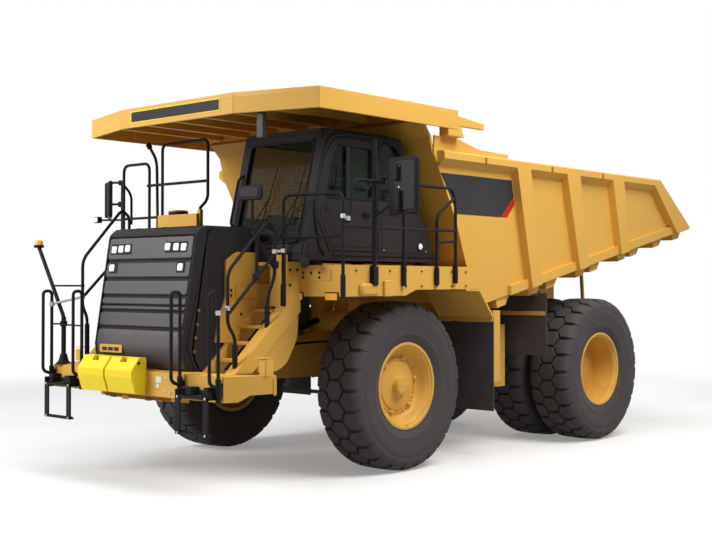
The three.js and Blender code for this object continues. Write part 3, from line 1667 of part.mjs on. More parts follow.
function hoistBarrel() {
  const eye = bar(
    [RAIL_OUT + CLEAR, HOIST_LOW[0], HOIST_LOW[1]],
    [HOIST_X + 50, HOIST_LOW[0], HOIST_LOW[1]],
    75,
    16,
  );
  const barrel = bar(along(60), along(BARREL_END), 108, 20);
  const bore = bar(along(110), along(BARREL_END + 50), 88, 20);
  const hole = bar([0, HOIST_LOW[0], HOIST_LOW[1]], [900, HOIST_LOW[0], HOIST_LOW[1]], HOIST_PIN + 0.9, 16);
  return joined([eye, barrel]).subtract(bore).subtract(hole);
}

function hoistStage() {
  const tubeBody = bar(along(110 + RUNNING), along(BARREL_END + 20), 80, 20);
  const bore = bar(along(150), along(BARREL_END + 60), 62, 20);
  return tubeBody.subtract(bore);
}

/** The rod with its solid eye, which stands between the two lugs of the body. */
function hoistRod() {
  const rod = bar(along(150 + RUNNING), along(HOIST_CLOSED - 50), 54, 20);
  const eye = bar(
    [HOIST_X - LUG_REACH + LUG_PLATE + 4, HOIST_HIGH[0], HOIST_HIGH[1]],
    [HOIST_X + LUG_REACH - LUG_PLATE - 4, HOIST_HIGH[0], HOIST_HIGH[1]],
    62,
    16,
  );
  return joined([rod, eye]);
}
addPair("left_hoist_barrel", "right_hoist_barrel", hoistBarrel(), castGrey);
addPair("left_hoist_stage", "right_hoist_stage", hoistStage(), chrome);
addPair("left_hoist_rod", "right_hoist_rod", hoistRod(), chrome);

// ---- Placed over the middle of its length ----
const FRONT_MOST = BUMPER_Y - GAP - PUSH_BLOCK_DEPTH;
truck.position.y = -(FRONT_MOST + TAIL_Y) / 2;

export default truck;
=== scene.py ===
"""Looks of the mining dump truck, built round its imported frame."""

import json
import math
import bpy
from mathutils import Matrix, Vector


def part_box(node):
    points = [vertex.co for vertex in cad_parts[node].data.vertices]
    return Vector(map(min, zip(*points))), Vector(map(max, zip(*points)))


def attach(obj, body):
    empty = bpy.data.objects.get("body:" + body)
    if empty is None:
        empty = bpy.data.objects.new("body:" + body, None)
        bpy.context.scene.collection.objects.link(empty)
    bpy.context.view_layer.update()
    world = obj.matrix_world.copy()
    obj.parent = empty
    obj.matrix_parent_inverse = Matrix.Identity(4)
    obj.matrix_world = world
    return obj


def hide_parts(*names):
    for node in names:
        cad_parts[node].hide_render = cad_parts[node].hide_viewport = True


bl_info = {
    "name": "Mining Dump Truck Looks",
    "version": (1, 0, 0),
    "blender": (4, 5, 0),
    "location": "3D View > Sidebar > Dump Truck",
    "description": "Builds the visible pieces and finishes of the mining dump truck",
    "category": "Object",
}

import bmesh
import bpy
import numpy as np

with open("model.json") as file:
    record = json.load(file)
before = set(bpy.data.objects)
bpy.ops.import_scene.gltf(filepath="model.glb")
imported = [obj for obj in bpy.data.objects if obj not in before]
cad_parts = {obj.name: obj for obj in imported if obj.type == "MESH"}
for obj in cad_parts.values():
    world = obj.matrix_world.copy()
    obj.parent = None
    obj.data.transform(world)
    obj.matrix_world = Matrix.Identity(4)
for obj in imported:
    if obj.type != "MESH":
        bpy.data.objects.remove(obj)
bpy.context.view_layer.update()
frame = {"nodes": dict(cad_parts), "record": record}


def middle_of(node):
    """The middle of a CAD node's box, in metres."""
    lo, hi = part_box(node)
    return [(lo[i] + hi[i]) / 2 for i in range(3)]


AXLE_Y = middle_of("left_front_tyre")[1]
AXLE_Z = middle_of("left_front_tyre")[2] * 1000
FRONT_WHEEL_X = middle_of("left_front_tyre")[0] * 1000
REAR_WHEEL_Y = (middle_of("left_rear_outer_tyre")[1] - AXLE_Y) * 1000
REAR_OUTER_X = middle_of("left_rear_outer_tyre")[0] * 1000
REAR_INNER_X = middle_of("left_rear_inner_tyre")[0] * 1000
HUB_MID = (REAR_OUTER_X + REAR_INNER_X) / 2

SLOTS = {row["slot"] for row in frame["record"]["materials"]}

# Directions, seen from the driver's seat.
LEFT, RIGHT, BACK, FRONT, UP = (1, 0, 0), (-1, 0, 0), (0, 1, 0), (0, -1, 0), (0, 0, 1)

# ---- Shapes: each is (points in millimetres, list of face arrays) ----
# X is the truck's left, Y runs to the tail from the front axle, Z is up from the ground.


def grid_faces(rows, columns, close_rows=False, close_columns=False):
    """Quads of a grid of points, row by row, joined round where asked."""
    i = np.arange(rows if close_rows else rows - 1)[:, None]
    j = np.arange(columns if close_columns else columns - 1)[None, :]
    i2, j2 = (i + 1) % rows, (j + 1) % columns
    corners = [i * columns + j, i2 * columns + j, i2 * columns + j2, i * columns + j2]
    return np.stack(corners, -1).reshape(-1, 4)


def joined(shapes):
    """Several shapes as one."""
    points, faces, start = [], [], 0
    for p, f in shapes:
        points.append(np.asarray(p, float))
        faces += [np.asarray(a) + start for a in f]
        start += len(p)
    return np.concatenate(points), faces


def mirrored(shape):
    """The shape on the other side of the truck, with its faces turned to match."""
    p, f = shape
    return p * (-1, 1, 1), [a[:, ::-1] for a in f]


def turned(profile, middle, side=1, sides=96):
    """(radius, x) points turned about a line along X: radius r and place x go to (x, r cos a, r sin a)."""
    p = np.array(profile, float)
    ring = np.allclose(p[0], p[-1])
    p = p[:-1] if ring else p
    a = 2 * np.pi * np.arange(sides) / sides
    x = side * p[:, 1][:, None] + 0 * a
    points = np.stack([x, p[:, 0][:, None] * np.cos(a), p[:, 0][:, None] * np.sin(a)], -1)
    faces = [grid_faces(len(p), sides, ring, True)]
    if not ring:
        last = (len(p) - 1) * sides
        faces += [np.arange(sides)[None, :], np.arange(last, last + sides)[None, ::-1]]
    return points.reshape(-1, 3) + middle, faces


def bent(points, bend, steps):
    """The points with each inner corner rounded by a quadratic curve that starts and ends a bend's length off."""
    p = [np.array(q, float) for q in points]
    out = [p[0]]
    t = np.linspace(0, 1, steps + 1)[:, None]
    for a, b, c in zip(p, p[1:], p[2:]):
        la, lc = np.linalg.norm(a - b), np.linalg.norm(c - b)
        cut = min(bend, la * 0.45, lc * 0.45)
        s, e = b + (a - b) / la * cut, b + (c - b) / lc * cut
        out += list((1 - t) ** 2 * s + 2 * t * (1 - t) * b + t**2 * e)
    return np.array(out + [p[-1]])


def tube(points, radius=20, bend=90, sides=12, steps=6):
    """A round bar carried along the bent path: a circle across the path at each of its points."""
    path = bent(points, bend, steps)
    along = np.gradient(path, axis=0)
    along /= np.linalg.norm(along, axis=1)[:, None]
    normal = np.cross(along[0], (0.3, 0.9, 0.2) if abs(along[0][0]) > 0.8 else (1, 0.1, 0.2))
    normals = []
    for d in along:
        normal = normal - d * (normal @ d)
        normal /= np.linalg.norm(normal)
        normals.append(normal)
    u = np.array(normals)[:, None]
    v = np.cross(along, np.array(normals))[:, None]
    a = (2 * np.pi * np.arange(sides) / sides)[None, :, None]
    size = np.broadcast_to(np.asarray(radius, float), len(path))[:, None, None]
    ring = path[:, None] + size * (np.cos(a) * u + np.sin(a) * v)
    last = (len(path) - 1) * sides
    ends = [np.arange(sides)[None, ::-1], np.arange(last, last + sides)[None, :]]
    return ring.reshape(-1, 3), [grid_faces(len(path), sides, False, True)] + ends


def drum(points, radii, sides=16):
    """A round solid turned about the line through its points, with a radius at each."""
    return tube(points, radii, 0, sides, 0)


def bar(a, b, radius, sides=16):
    """A straight round bar."""
    return tube([a, b], radius, sides=sides)


def sleeve(x, y, low, high, radius=31):
    """The thick sleeve at the foot of a rail, drawn in at both ends."""
    points = [(x, y, z) for z in (low, low + 6, high - 8, high)]
    return tube(points, [radius - 6, radius, radius, radius - 8], bend=0, sides=16, steps=0)


def slab(outline, axis, start, end):
    """An outline drawn out along an axis: (y, z) along x, (x, z) along y or (x, y) along z."""
    o = np.array(outline, float)
    n = len(o)
    place = {"x": (1, 2, 0), "y": (0, 2, 1), "z": (0, 1, 2)}[axis]
    points = np.zeros((2, n, 3))
    points[:, :, place[0]], points[:, :, place[1]] = o[:, 0], o[:, 1]
    points[0, :, place[2]], points[1, :, place[2]] = start, end
    faces = [grid_faces(2, n, False, True), np.arange(n)[None, ::-1], np.arange(n, 2 * n)[None, :]]
    return points.reshape(-1, 3), faces


def block(x0, x1, y0, y1, z0, z1):
    """A block between two values on each axis."""
    return slab([(y0, z0), (y1, z0), (y1, z1), (y0, z1)], "x", x0, x1)


def rounded(outline, radius, steps=5):
    """A closed outline with every corner rounded."""
    o = [np.array(p, float) for p in outline]
    out = []
    t = np.linspace(0, 1, steps + 1)[:, None]
    for a, b, c in zip(o[-1:] + o[:-1], o, o[1:] + o[:1]):
        la, lc = np.linalg.norm(a - b), np.linalg.norm(c - b)
        cut = min(radius, la * 0.48, lc * 0.48)
        s, e = b + (a - b) / la * cut, b + (c - b) / lc * cut
        out += list((1 - t) ** 2 * s + 2 * t * (1 - t) * b + t**2 * e)
    return np.array(out)


def plate(middle, along, up, width, height, thick, corner=12, rise=0):
    """A rounded rectangle on two directions, drawn out by its thickness, with its face drawn in by rise."""
    a, u = np.array(along, float), np.array(up, float)
    a /= np.linalg.norm(a)
    u = u - a * (u @ a)
    u /= np.linalg.norm(u)
    n = np.cross(a, u)
    w, h = width / 2, height / 2
    o = rounded([(-w, -h), (w, -h), (w, h), (-w, h)], corner, 4)
    levels = [(0, 0), (thick - rise, 0), (thick, rise)] if rise else [(0, 0), (thick, 0)]
    rings = []
    for depth, draw in levels:
        q = o * (1 - draw / np.array([w, h]))
        rings.append(np.array(middle, float) + q[:, :1] * a + q[:, 1:] * u + n * depth)
    k, m = len(o), len(levels)
    last = (m - 1) * k
    faces = [grid_faces(m, k, False, True), np.arange(k)[None, ::-1], np.arange(last, last + k)[None, :]]
    return np.concatenate(rings), faces


def bolts(places, normal, radius=14, height=12):
    """Hexagonal bolt heads on washers at many places at once, their tops drawn in."""
    n = np.array(normal, float)
    n /= np.linalg.norm(n)
    a = np.cross(n, (0.2, 0.3, 1) if abs(n[2]) < 0.8 else (1, 0.2, 0.1))
    a /= np.linalg.norm(a)
    b = np.cross(n, a)
    t = 2 * np.pi * np.arange(6) / 6
    ring = np.cos(t)[:, None] * a + np.sin(t)[:, None] * b
    levels = [(1.35, -0.1), (1.35, 0.25), (1.0, 0.26), (1.0, 0.85), (0.82, 1.0)]
    local = np.concatenate([ring * radius * r + n * height * h for r, h in levels])
    p = np.array(places, float)
    points = (p[:, None] + local[None]).reshape(-1, 3)
    start = (np.arange(len(p)) * len(local))[:, None, None]
    walls = (grid_faces(len(levels), 6, False, True)[None] + start).reshape(-1, 4)
    last = (len(levels) - 1) * 6
    caps = [(np.arange(6)[None, ::-1] + start[:, 0]), (np.arange(last, last + 6)[None] + start[:, 0])]
    return points, [walls] + caps


def circle_places(middle, radius, count, turn=0.0):
    """Places round a circle that faces along X."""
    a = 2 * np.pi * np.arange(count) / count + turn
    return np.stack([0 * a, radius * np.cos(a), radius * np.sin(a)], -1) + middle


def piece(name, shapes, finish, body="chassis", replaces=(), slot=None, bevel=0.0, smooth=32):
    """Makes one visible piece: joins the shapes, puts them in the row frame in metres and gives the finish.

    Its slot, the finish's own name where the record has such a slot unless another is given, is worked out but not
    kept.
    """
    points, faces = joined(shapes)
    mesh = bpy.data.meshes.new(name)
    placed = points / 1000 + (0, AXLE_Y, 0)
    mesh.from_pydata(placed, [], [row for a in faces for row in a.tolist()])
    made = bmesh.new()
    made.from_mesh(mesh)
    bmesh.ops.recalc_face_normals(made, faces=made.faces)
    made.to_mesh(mesh)
    made.free()
    mesh.shade_smooth()
    mesh.set_sharp_from_angle(angle=math.radians(smooth))
    mesh.materials.append(finish_named(finish))
    obj = bpy.data.objects.new(name, mesh)
    bpy.context.scene.collection.objects.link(obj)
    if bevel:
        m = obj.modifiers.new("edges", "BEVEL")
        m.width, m.segments, m.limit_method = bevel / 1000, 2, "ANGLE"
        m.angle_limit = math.radians(30)
        m.harden_normals = True
    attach(obj, body)
    slot = slot or (finish if finish in SLOTS else None)
    if replaces:
        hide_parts(*replaces)
    return obj


# ---- Finishes ----


def linear(rgb):
    """A screen colour as linear light."""
    c = [x / 12.92 if x <= 0.04045 else ((x + 0.055) / 1.055) ** 2.4 for x in rgb[:3]]
    return (*c, 1.0)


class Value:
    """A shader socket on which Python's arithmetic adds Math nodes."""

    def __init__(self, sheet, socket):
        self.sheet, self.socket = sheet, socket

    def _math(self, operation, a, b=None):
        inputs = {0: a} if b is None else {0: a, 1: b}
        return self.sheet.node("ShaderNodeMath", {"operation": operation}, inputs)

    def __add__(self, other):
        return self._math("ADD", self, other)

    def __sub__(self, other):
        return self._math("SUBTRACT", self, other)

    def __rsub__(self, other):
        return self._math("SUBTRACT", other, self)

    def __mul__(self, other):
        return self._math("MULTIPLY", self, other)

    __radd__, __rmul__ = __add__, __mul__

    def __truediv__(self, other):
        return self._math("DIVIDE", self, other)

    def __pow__(self, other):
        return self._math("POWER", self, other)

    def sine(self):
        return self._math("SINE", self)

    def fade(self, start, end):
        """0 before start, 1 after end, smooth between."""
        settings = {"interpolation_type": "SMOOTHSTEP"}
        return self.sheet.node("ShaderNodeMapRange", settings, {0: self, 1: start, 2: end}, "Result")


class Sheet:
    """A finish's node sheet, with one method that adds any node."""

    def __init__(self, name):
        self.material = bpy.data.materials.new(name)
        self.material.use_nodes = True
        self.tree = self.material.node_tree
        self.tree.nodes.clear()
        coords = self.tree.nodes.new("ShaderNodeTexCoord")
        self.coords = Value(self, coords.outputs["Object"])

    def node(self, kind, settings=None, inputs=None, output=0):
        """Adds a node, sets its settings first and then its sockets, and gives back an output."""
        n = self.tree.nodes.new(kind)
        for key, value in (settings or {}).items():
            setattr(n, key, value)
        for key, value in (inputs or {}).items():
            if isinstance(value, Value):
                self.tree.links.new(value.socket, n.inputs[key])
            else:
                n.inputs[key].default_value = value
        return Value(self, n.outputs[output])

    def axes(self):
        """The point's x, y and z in metres."""
        n = self.tree.nodes.new("ShaderNodeSeparateXYZ")
        self.tree.links.new(self.coords.socket, n.inputs[0])
        return [Value(self, o) for o in n.outputs]

    def noise(self, scale, detail=3.0, roughness=0.5, vector=None):
        """Soft noise from 0 to 1, with scale in lumps per metre."""
        inputs = {"Vector": vector or self.coords, "Scale": scale, "Detail": detail, "Roughness": roughness}
        return self.node("ShaderNodeTexNoise", None, inputs)

    def between(self, factor, a, b):
        """A colour between two colours."""
        inputs = {0: factor, 6: a, 7: b}
        return self.node("ShaderNodeMix", {"data_type": "RGBA"}, inputs, 2)

    def bump(self, height, strength, distance, normal=None):
        inputs = {"Height": height, "Strength": strength, "Distance": distance}
        if normal:
            inputs["Normal"] = normal
        return self.node("ShaderNodeBump", None, inputs)

    def edges(self, radius):
        """The normal with edges rounded by a radius, in metres."""
        return self.node("ShaderNodeBevel", {"samples": 4}, {"Radius": radius})

    def finish(self, inputs):
        """The surface shader with its sockets, joined to the output."""
        shader = self.node("ShaderNodeBsdfPrincipled", None, inputs)
        out = self.tree.nodes.new("ShaderNodeOutputMaterial")
        self.tree.links.new(shader.socket, out.inputs[0])
        return self.material


def shade(colour, amount):
    """A linear colour made lighter or darker."""
    return (*[min(1.0, c * amount) for c in colour[:3]], 1.0)


def enamel(name, rgb, roughness=0.42, coat=0.04, dust=0.3):
    """Sprayed enamel on plate: slow changes of tone, orange peel, soft edges, and road dust low down."""
    s = Sheet(name)
    base = linear(rgb)
    tone = s.between(s.noise(0.9, 4.0), shade(base, 0.93), shade(base, 1.06))
    z = s.axes()[2]
    low = (1 - z.fade(0.3, 1.6)) * s.noise(5.0, 6.0, 0.65).fade(0.42, 0.75) * dust
    colour = s.between(low, tone, linear((0.50, 0.38, 0.22)))
    rough = roughness + 0.1 * s.noise(7.0) + 0.25 * low
    peel = s.bump(s.noise(260.0, 2.0), 0.05, 0.002, s.edges(0.007))
    return s.finish(
        {"Base Color": colour, "Roughness": rough, "Normal": peel, "Coat Weight": coat, "Specular IOR Level": 0.2}
    )


def satin(name, rgb, roughness=0.55, grain=180.0, strength=0.12, metallic=0.0):
    """Satin coating with a fine grain and faint scuffs."""
    s = Sheet(name)
    base = linear(rgb)
    tone = s.between(s.noise(1.7, 5.0), shade(base, 0.8), shade(base, 1.25))
    scuff = s.noise(14.0, 6.0, 0.7).fade(0.55, 0.85)
    colour = s.between(scuff * 0.25, tone, shade(base, 2.0))
    rough = roughness + 0.14 * s.noise(23.0) - 0.08 * scuff
    grainy = s.bump(s.noise(grain, 3.0), strength, 0.002, s.edges(0.005))
    return s.finish(
        {
            "Base Color": colour, "Roughness": rough, "Normal": grainy, "Metallic": metallic,
            "Specular IOR Level": 0.08
        }
    )


def mesh_front(name, rgb):
    """The moulded grille: satin with a fine mesh of dimples, a product of two sine waves, on its front, each dimple
    painted darker as shade.
    """
    s = Sheet(name)
    base = linear(rgb)
    x, _, z = s.axes()
    waves = (x * 300.0 + z * 300.0).sine() * (x * 300.0 - z * 300.0).sine()
    dimple = waves.fade(0.05, 0.5)
    tone = s.between(s.noise(2.2, 5.0), shade(base, 0.85), shade(base, 1.2))
    # Painted shade: the colour darkens in each dimple as if shade lay in it.
    colour = s.between(dimple * 0.45, tone, shade(base, 0.35))
    grainy = s.bump(dimple * -1.0 + 0.3 * s.noise(200.0), 0.35, 0.003)
    return s.finish({"Base Color": colour, "Roughness": 0.42 + 0.15 * s.noise(19.0), "Normal": grainy})


def rubber(name, rgb, dust=0.25):
    """Matt rubber with fine pitting, mould flow and a breath of dust."""
    s = Sheet(name)
    base = linear(rgb)
    tone = s.between(s.noise(3.1, 6.0, 0.6), shade(base, 0.75), shade(base, 1.3))
    powder = s.noise(11.0, 7.0, 0.7).fade(0.45, 0.9) * dust
    colour = s.between(powder, tone, linear((0.36, 0.34, 0.33)))
    rough = 0.62 + 0.2 * s.noise(31.0) + 0.1 * powder
    pits = s.bump(s.noise(150.0, 4.0, 0.7), 0.25, 0.003)
    return s.finish({"Base Color": colour, "Roughness": rough, "Normal": pits, "Specular IOR Level": 0.2})


def glass(name, rgb, alpha):
    """Tinted window glass that shows the cab behind it, with faint dust that thickens it."""
    s = Sheet(name)
    smear = s.noise(6.0, 6.0, 0.7).fade(0.45, 0.8)
    inputs = {"Base Color": s.between(smear, linear(rgb), shade(linear(rgb), 1.4)), "Alpha": alpha + 0.05 * smear}
    inputs["Roughness"] = 0.03 + 0.08 * smear
    made = s.finish({**inputs, "Specular IOR Level": 0.25})
    return made


def cloth(name, rgb):
    """Woven cloth: two crossing sets of threads, each a sine wave."""
    s = Sheet(name)
    base = linear(rgb)
    x, y, z = s.axes()
    weft, warp = (x * 1800.0).sine(), ((y + z) * 1800.0).sine()
    weave = weft * warp
    tone = s.between(weave.fade(-0.8, 0.8), shade(base, 0.7), shade(base, 1.2))
    colour = s.between(s.noise(9.0, 5.0).fade(0.4, 0.8) * 0.3, tone, shade(base, 1.5))
    bumps = s.bump(weave, 0.4, 0.001)
    return s.finish(
        {"Base Color": colour, "Roughness": 0.85 + 0.1 * s.noise(40.0), "Normal": bumps, "Sheen Weight": 0.3}
    )


def metal(name, rgb, roughness=0.15, scratch=0.1):
    """Bare or plated metal with fine drawn scratches."""
    s = Sheet(name)
    base = linear(rgb)
    tone = s.between(s.noise(8.0, 5.0), shade(base, 0.85), base)
    lines = s.noise(60.0, 6.0, 0.8)
    rough = roughness + scratch * lines
    return s.finish({"Base Color": tone, "Roughness": rough, "Metallic": 1.0, "Normal": s.bump(lines, 0.05, 0.001)})


def lens(name, rgb, glow):
    """A ribbed lamp lens over a bright reflector: fine upright ribs, a little light of its own."""
    s = Sheet(name)
    base = linear(rgb)
    x, y, z = s.axes()
    ribs = ((x + y) * 420.0).sine() * 0.5 + (z * 420.0).sine() * 0.5
    colour = s.between(ribs.fade(-0.6, 0.8), shade(base, 0.72), base)
    inputs = {"Base Color": colour, "Roughness": 0.08 + 0.1 * s.noise(30.0), "Normal": s.bump(ribs, 0.3, 0.002)}
    return s.finish({**inputs, "Emission Color": colour, "Emission Strength": glow, "Coat Weight": 0.6})


def finish_named(name):
    """The finish's material, made when it is first asked for."""
    title = f"{name}_finish"
    found = bpy.data.materials.get(title)
    if found:
        return found
    c = bpy.context.scene.truck_colours
    makers = {
        "yellow_paint": lambda: enamel(title, c.yellow),
        "lemon_paint": lambda: enamel(title, c.lemon, 0.4, 0.1, 0.15),
        # Painted shade: the yellow paint darkened and browned as it looks in shade, for parts set in shade.
        "guard_primer": lambda: enamel(title, (0.62, 0.36, 0.12), 0.5, 0.0, 0.5),
        "black_paint": lambda: satin(title, c.black),
        "tube_black": lambda: satin(title, c.tube, 0.4, 260.0, 0.06),
        "grille_mould": lambda: mesh_front(title, c.grille),
        "tyre_rubber": lambda: rubber(title, c.tyre),
        "flap_rubber": lambda: rubber(title, (0.30, 0.275, 0.28), 0.12),
        "seal_rubber": lambda: rubber(title, (0.10, 0.10, 0.11), 0.1),
        "window_glass": lambda: glass(title, c.glass, 0.36),
        "seat_cloth": lambda: cloth(title, c.seat),
        "dark_plastic": lambda: satin(title, (0.16, 0.16, 0.17), 0.55, 320.0, 0.25),
        "cast_grey": lambda: satin(title, (0.30, 0.29, 0.28), 0.5, 90.0, 0.3, 0.4),
        "chrome_rod": lambda: metal(title, (0.84, 0.84, 0.85), 0.1, 0.08),
        "zinc_plate": lambda: metal(title, (0.72, 0.72, 0.70), 0.32, 0.2),
        "brass_bolt": lambda: metal(title, (0.55, 0.42, 0.22), 0.35, 0.2),
        "mirror_glass": lambda: metal(title, (0.80, 0.82, 0.84), 0.02, 0.03),
        "lamp_white": lambda: lens(title, (0.95, 0.96, 0.97), 0.5),
        "lamp_amber": lambda: lens(title, (0.98, 0.62, 0.05), 0.25),
        "lamp_red": lambda: lens(title, (0.75, 0.08, 0.05), 0.15),
        "panel_dark": lambda: satin(title, (0.22, 0.21, 0.22), 0.4, 120.0, 0.04),
        "stripe_red": lambda: satin(title, (0.80, 0.14, 0.12), 0.4, 120.0, 0.04),
        "plate_white": lambda: satin(title, (0.88, 0.87, 0.84), 0.45, 120.0, 0.04),
        "lining_teal": lambda: satin(title, c.lining, 0.6, 60.0, 0.2),
    }
    return makers[name]()


def colour_prop(name, text, value):
    return bpy.props.FloatVectorProperty(
        name=name, description=text, subtype="COLOR", size=3, default=value, min=0, max=1
    )


class TruckColours(bpy.types.PropertyGroup):
    """Colours of the finishes, as they look on screen."""

    yellow: colour_prop("Yellow", "Paint of the frame, decks, rims and dump body", (0.875, 0.675, 0.305))
    lemon: colour_prop("Lemon", "Paint of the push blocks", (0.98, 0.86, 0.16))
    black: colour_prop("Black", "Coating of the cab and the hood", (0.20, 0.188, 0.192))
    tube: colour_prop("Rails", "Coating of the handrails and ladders", (0.13, 0.125, 0.135))
    grille: colour_prop("Grille", "Moulding of the grille", (0.245, 0.225, 0.235))
    tyre: colour_prop("Tyre", "Rubber of the tyres", (0.285, 0.268, 0.268))
    glass: colour_prop("Glass", "Tint of the windows", (0.10, 0.13, 0.09))
    seat: colour_prop("Seat", "Cloth of the driver's seat", (0.16, 0.36, 0.34))
    lining: colour_prop("Lining", "Lining of the cab", (0.24, 0.46, 0.43))


class TruckSizes(bpy.types.PropertyGroup):
    """Sizes of the looks that a user may change."""

    tread_count: bpy.props.IntProperty(
        name="Tread blocks", description="Blocks round a tyre", default=26, min=12, max=48
    )
    tread_depth: bpy.props.FloatProperty(
        name="Tread depth", description="Depth of the tread's grooves, in millimetres", default=48.0, min=10, max=60
    )
    rail_radius: bpy.props.FloatProperty(
        name="Rail radius", description="Radius of the handrail's tube, in millimetres", default=20.0, min=12,
        max=28
    )
    edge: bpy.props.FloatProperty(
        name="Edge", description="Rounding of plate edges, in millimetres", default=5.0, min=1, max=12
    )


class BuildOperator:
    """What the build operators share."""

    bl_options = {"REGISTER", "UNDO"}

    @classmethod
    def poll(cls, context):
        return context.scene is not None


# ---- Wheels ----


def tread_top(t):
    """The tread's radius at a place across the tyre, crowned, less towards its shoulders."""
    return AXLE_Z - 9 * (t / 250) ** 2 - 20 * np.clip((np.abs(t) - 235) / 60, 0, 1) ** 2


def tyre(x, y, side):
    """A tyre: a turned casing, a row of six-sided blocks on its middle and lugs that wrap over each shoulder."""
    sizes = bpy.context.scene.truck_sizes
    count, depth = sizes.tread_count, sizes.tread_depth
    half = [
        (510, 227), (520, 250), (546, 268), (566, 272), (580, 286), (640, 302), (648, 308), (660, 306),
        (730, 324)
    ]
    half += [(800, 334), (862, 337), (872, 333), (900, 331), (912, 335), (930, 331), (965, 318), (990, 295)]
    half += [(AXLE_Z - depth, 262), (AXLE_Z - depth + 4, 120)]
    casing = [(r, -t) for r, t in half] + [(r, t) for r, t in reversed(half)] + [(510, -227)]
    pitch = 2 * np.pi * AXLE_Z / count
    shapes = [turned(casing, (0, 0, 0), 1, 120)]
    long, gap = pitch / 2 - 14, 24

    def wrapped(local, faces, turns):
        """Local (s along, t across, r out) points repeated round the tyre: s becomes an angle."""
        a = (local[None, :, 0] / AXLE_Z) + turns[:, None]
        r = np.broadcast_to(local[None, :, 2], a.shape)
        t = np.broadcast_to(local[None, :, 1], a.shape)
        points = np.stack([t, r * np.cos(a), r * np.sin(a)], -1).reshape(-1, 3)
        start = (np.arange(len(turns)) * len(local))[:, None, None]
        return points, [(f[None] + start).reshape(-1, f.shape[1]) for f in faces]

    turns = 2 * np.pi * np.arange(count) / count
    six = np.array([(long, -66), (long, 66), (0, 134), (-long, 66), (-long, -66), (0, -134)], float)
    rings = []
    for draw, drop in ((0.0, depth), (0.01, 9), (0.07, 0)):
        flat = six * (1 - draw)
        rings.append(np.column_stack([flat, tread_top(flat[:, 1]) - drop]))
    local = np.concatenate(rings + [np.array([[0, 0, AXLE_Z]])])
    top = np.array([[12 + i, 12 + (i + 1) % 6, 18] for i in range(6)])
    shapes.append(wrapped(local, [grid_faces(3, 6, False, True), top], turns))

    s_line = np.linspace(-1, 1, 5)
    down = np.array(
        [(262, 1031, 0.2, 1), (292, 1018, 0.45, 0.9), (316, 988, 0.8, 0.55), (330, 950, 1, 0.2), (337, 912, 1, 0.0)]
    )

    def lug(inset, drop):
        """The lug's surface: its inner end is cut to lie along the blocks, its outer end runs down the shoulder."""
        rows = []
        for share in (0, 0.5, 1):
            s = s_line * (long - 9 - inset)
            t0 = 68 + gap / 0.868 - 14 * 0.57 + np.abs(s) * 0.6 + inset * 1.2
            t = t0 + (238 - t0) * share
            rows.append(np.column_stack([s, t, tread_top(t) - drop]))
        for t, r, outward, fall in down:
            s = s_line * (long - 12 - inset)
            level = drop * (0.35 + 0.65 * fall) if drop > 20 else drop
            rows.append(np.column_stack([s, t - level * outward + 0 * s, r - level * fall + 0 * s]))
        rows[-1][:, 2] += inset
        return np.concatenate(rows)

    n_rows, n_cols = 3 + len(down), len(s_line)
    edge = [i for i in range(n_cols)] + [i * n_cols + n_cols - 1 for i in range(1, n_rows)]
    edge += [
        (n_rows - 1) * n_cols + i
        for i in range(n_cols - 2, -1, -1)
    ] + [i * n_cols for i in range(n_rows - 2, 0, -1)]
    edge = np.array(edge)
    face, skirt, foot = lug(6, 0), lug(0, 7)[edge], lug(-3, depth)[edge]
    k, m = len(face), len(edge)
    local = np.concatenate([face, skirt, foot])
    first = np.stack([edge, np.roll(edge, -1), k + np.roll(np.arange(m), -1), k + np.arange(m)], -1)
    quads = [grid_faces(n_rows, n_cols), first, grid_faces(2, m, False, True) + k]
    turns = turns + np.pi / count
    shapes.append(wrapped(local, quads, turns))
    other = local * (1, -1, 1)
    shapes.append(wrapped(other, [q[:, ::-1] for q in quads], turns))
    p, f = joined(shapes)
    return p * (side, 1, 1) + (x, y, AXLE_Z), f


def front_rim(x, side):
    """The front wheel: lock ring, deep dish, a disc with clamps and bolts, and the bolted hub cap."""
    profile = [
        (0, 214), (60, 214), (108, 206), (114, 196), (118, 150), (126, 132), (150, 124), (290, 116), (304, 112),
        (318, 96), (372, 90), (392, 100), (418, 132), (436, 176), (452, 214), (470, 228), (476, 244), (486, 250),
        (494, 250), (500, 262), (508, 272), (530, 276), (541, 272), (542, 264), (520, 250), (509, 232), (509, -232),
        (542, -264), (541, -272), (500, -272), (470, -100), (455, 20), (200, 40), (170, -60), (75.6, -60),
        (75.6, 90), (0, 90),
    ]
    middle = np.array((x, 0, AXLE_Z), float)
    out = np.array((side, 0, 0), float)
    shapes = [turned([p for p in profile if p[0] > 0], middle, side, 96)]
    shapes.append(bolts(circle_places(middle + out * 205, 84, 8), out, 11, 12))
    shapes.append(bolts(circle_places(middle + out * 206, 34, 2), out, 8, 10))
    shapes.append(bolts(circle_places(middle + out * 92, 345, 36, 0.05), out, 12, 22))
    for place in circle_places(middle + out * 92, 344, 6, 0.21):
        shapes.append(turned([(31, 0), (31, 22), (27, 34), (18, 42), (8, 45)], place, side, 20))
    shapes.append(bolts(circle_places(middle + out * 118, 250, 1, -0.9), out, 9, 6))
    shapes.append(tube([middle + out * 255 + (0, 0, -492), middle + out * 285 + (0, 0, -486)], 6, 0, 8))
    return shapes


